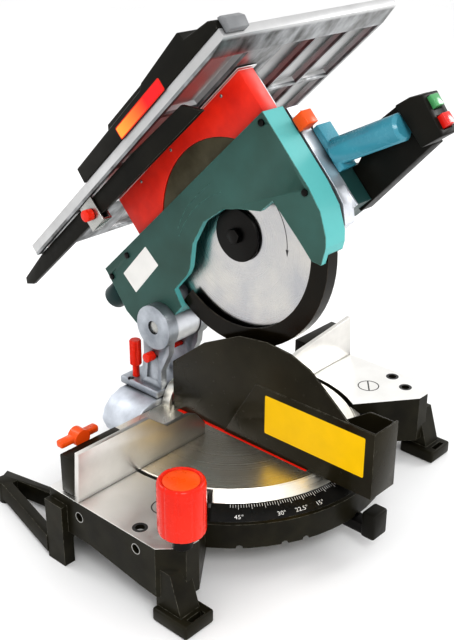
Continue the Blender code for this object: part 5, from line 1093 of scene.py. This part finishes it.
# %% Hood screws
DOME_SHARES = [(0, 1), (0.35, 0.98), (0.7, 0.8), (0.93, 0.45), (1, 0.1), (1, -0.1)]
CROSS_LONG_SHARE = 0.55
CROSS_WIDE_SHARE = 0.11
CROSS_LOW_SHARE = 0.9
CROSS_HIGH_SHARE = 1.02
CROSS_TURN = 20
HEAD_RADIUS = 1.9 * MM
HEAD_HEIGHT = 1.2 * MM
SCREW_Y = (-92, 14, 83)
SCREW_Z = 122.5 * MM
LEFT_OF_HOOD = -0.1


def pan_head(name, place, body):
    dome = [(radius * HEAD_RADIUS, height * HEAD_HEIGHT) for radius, height in DOME_SHARES]
    put_on(turned(name, dome, place, steps=24), body, zinc.look)
    long, wide = CROSS_LONG_SHARE * HEAD_RADIUS, CROSS_WIDE_SHARE * HEAD_RADIUS
    cross = [(-long, -wide), (long, -wide), (long, wide), (-long, wide)]
    # Painted shade: a dark cross laid on the dome in place of the driver's recess.
    for number, angle in enumerate((CROSS_TURN, CROSS_TURN + 90), 1):
        slot = plate(f"{name}_slot_{number}", cross, CROSS_LOW_SHARE * HEAD_HEIGHT,
                     CROSS_HIGH_SHARE * HEAD_HEIGHT, place @ Matrix.Rotation(math.radians(angle), 4, "Z"))
        put_on(slot, body, print_and_recess_shade.look)


for number, y in enumerate(SCREW_Y, 1):
    at = touch("blade_hood", HEAD @ Vector((LEFT_OF_HOOD, y * MM, SCREW_Z)), ACROSS)
    pan_head(f"hood_screw_{number}", facing(at, -ACROSS, BACK), "saw_table")
print(len(SCREW_Y), "hood screws")

# %% [markdown]
# ## Floor and light
# A catalogue picture has a white floor that runs into a white wall. A wide pale sheet and a bright plain
# sky do that, and three large soft lamps give the metal something to reflect.

# %% Floor and light
FLOOR_SIZE = 40
FLOOR_DROP = 0.4 * MM
SKY_STRENGTH = 0.95
LAMP_AIM = Vector((0, 0, 0.25))
# Each lamp's name, place in metres, width in metres and power in watts.
LAMPS = [
    ("key_lamp", (-1.2, -1.6, 1.9), 0.8, 20),
    ("side_lamp", (1.8, -0.9, 1.2), 0.7, 12),
    ("rear_lamp", (-0.6, 1.8, 1.6), 0.8, 8),
]

floor_look = Finish("pale_floor", (0.86, 0.86, 0.86), roughness=0.7)
floor_look.vary(3, (0.84, 0.84, 0.84), (0.87, 0.87, 0.87))
bpy.ops.mesh.primitive_plane_add(size=FLOOR_SIZE, location=(0, 0, -FLOOR_DROP))
floor = bpy.context.object
floor.name = "floor"
floor.data.materials.append(floor_look.look)
sky = bpy.data.worlds.new("white_room")
bpy.context.scene.world = sky
sky.use_nodes = True
background = sky.node_tree.nodes["Background"]
background.inputs["Color"].default_value = (1, 1, 1, 1)
background.inputs["Strength"].default_value = SKY_STRENGTH
for name, at, width, power in LAMPS:
    lamp = bpy.data.lights.new(name, "AREA")
    lamp.shape = "DISK"
    lamp.size = width
    lamp.energy = power
    light = bpy.data.objects.new(name, lamp)
    bpy.context.scene.collection.objects.link(light)
    aim = (LAMP_AIM - Vector(at)).normalized()
    light.matrix_world = Matrix.Translation(at) @ aim.to_track_quat("-Z", "Y").to_matrix().to_4x4()
bpy.context.scene.view_settings.view_transform = "Standard"
bpy.context.scene.view_settings.look = "Medium High Contrast"
print("floor, sky and", len(LAMPS), "lamps")
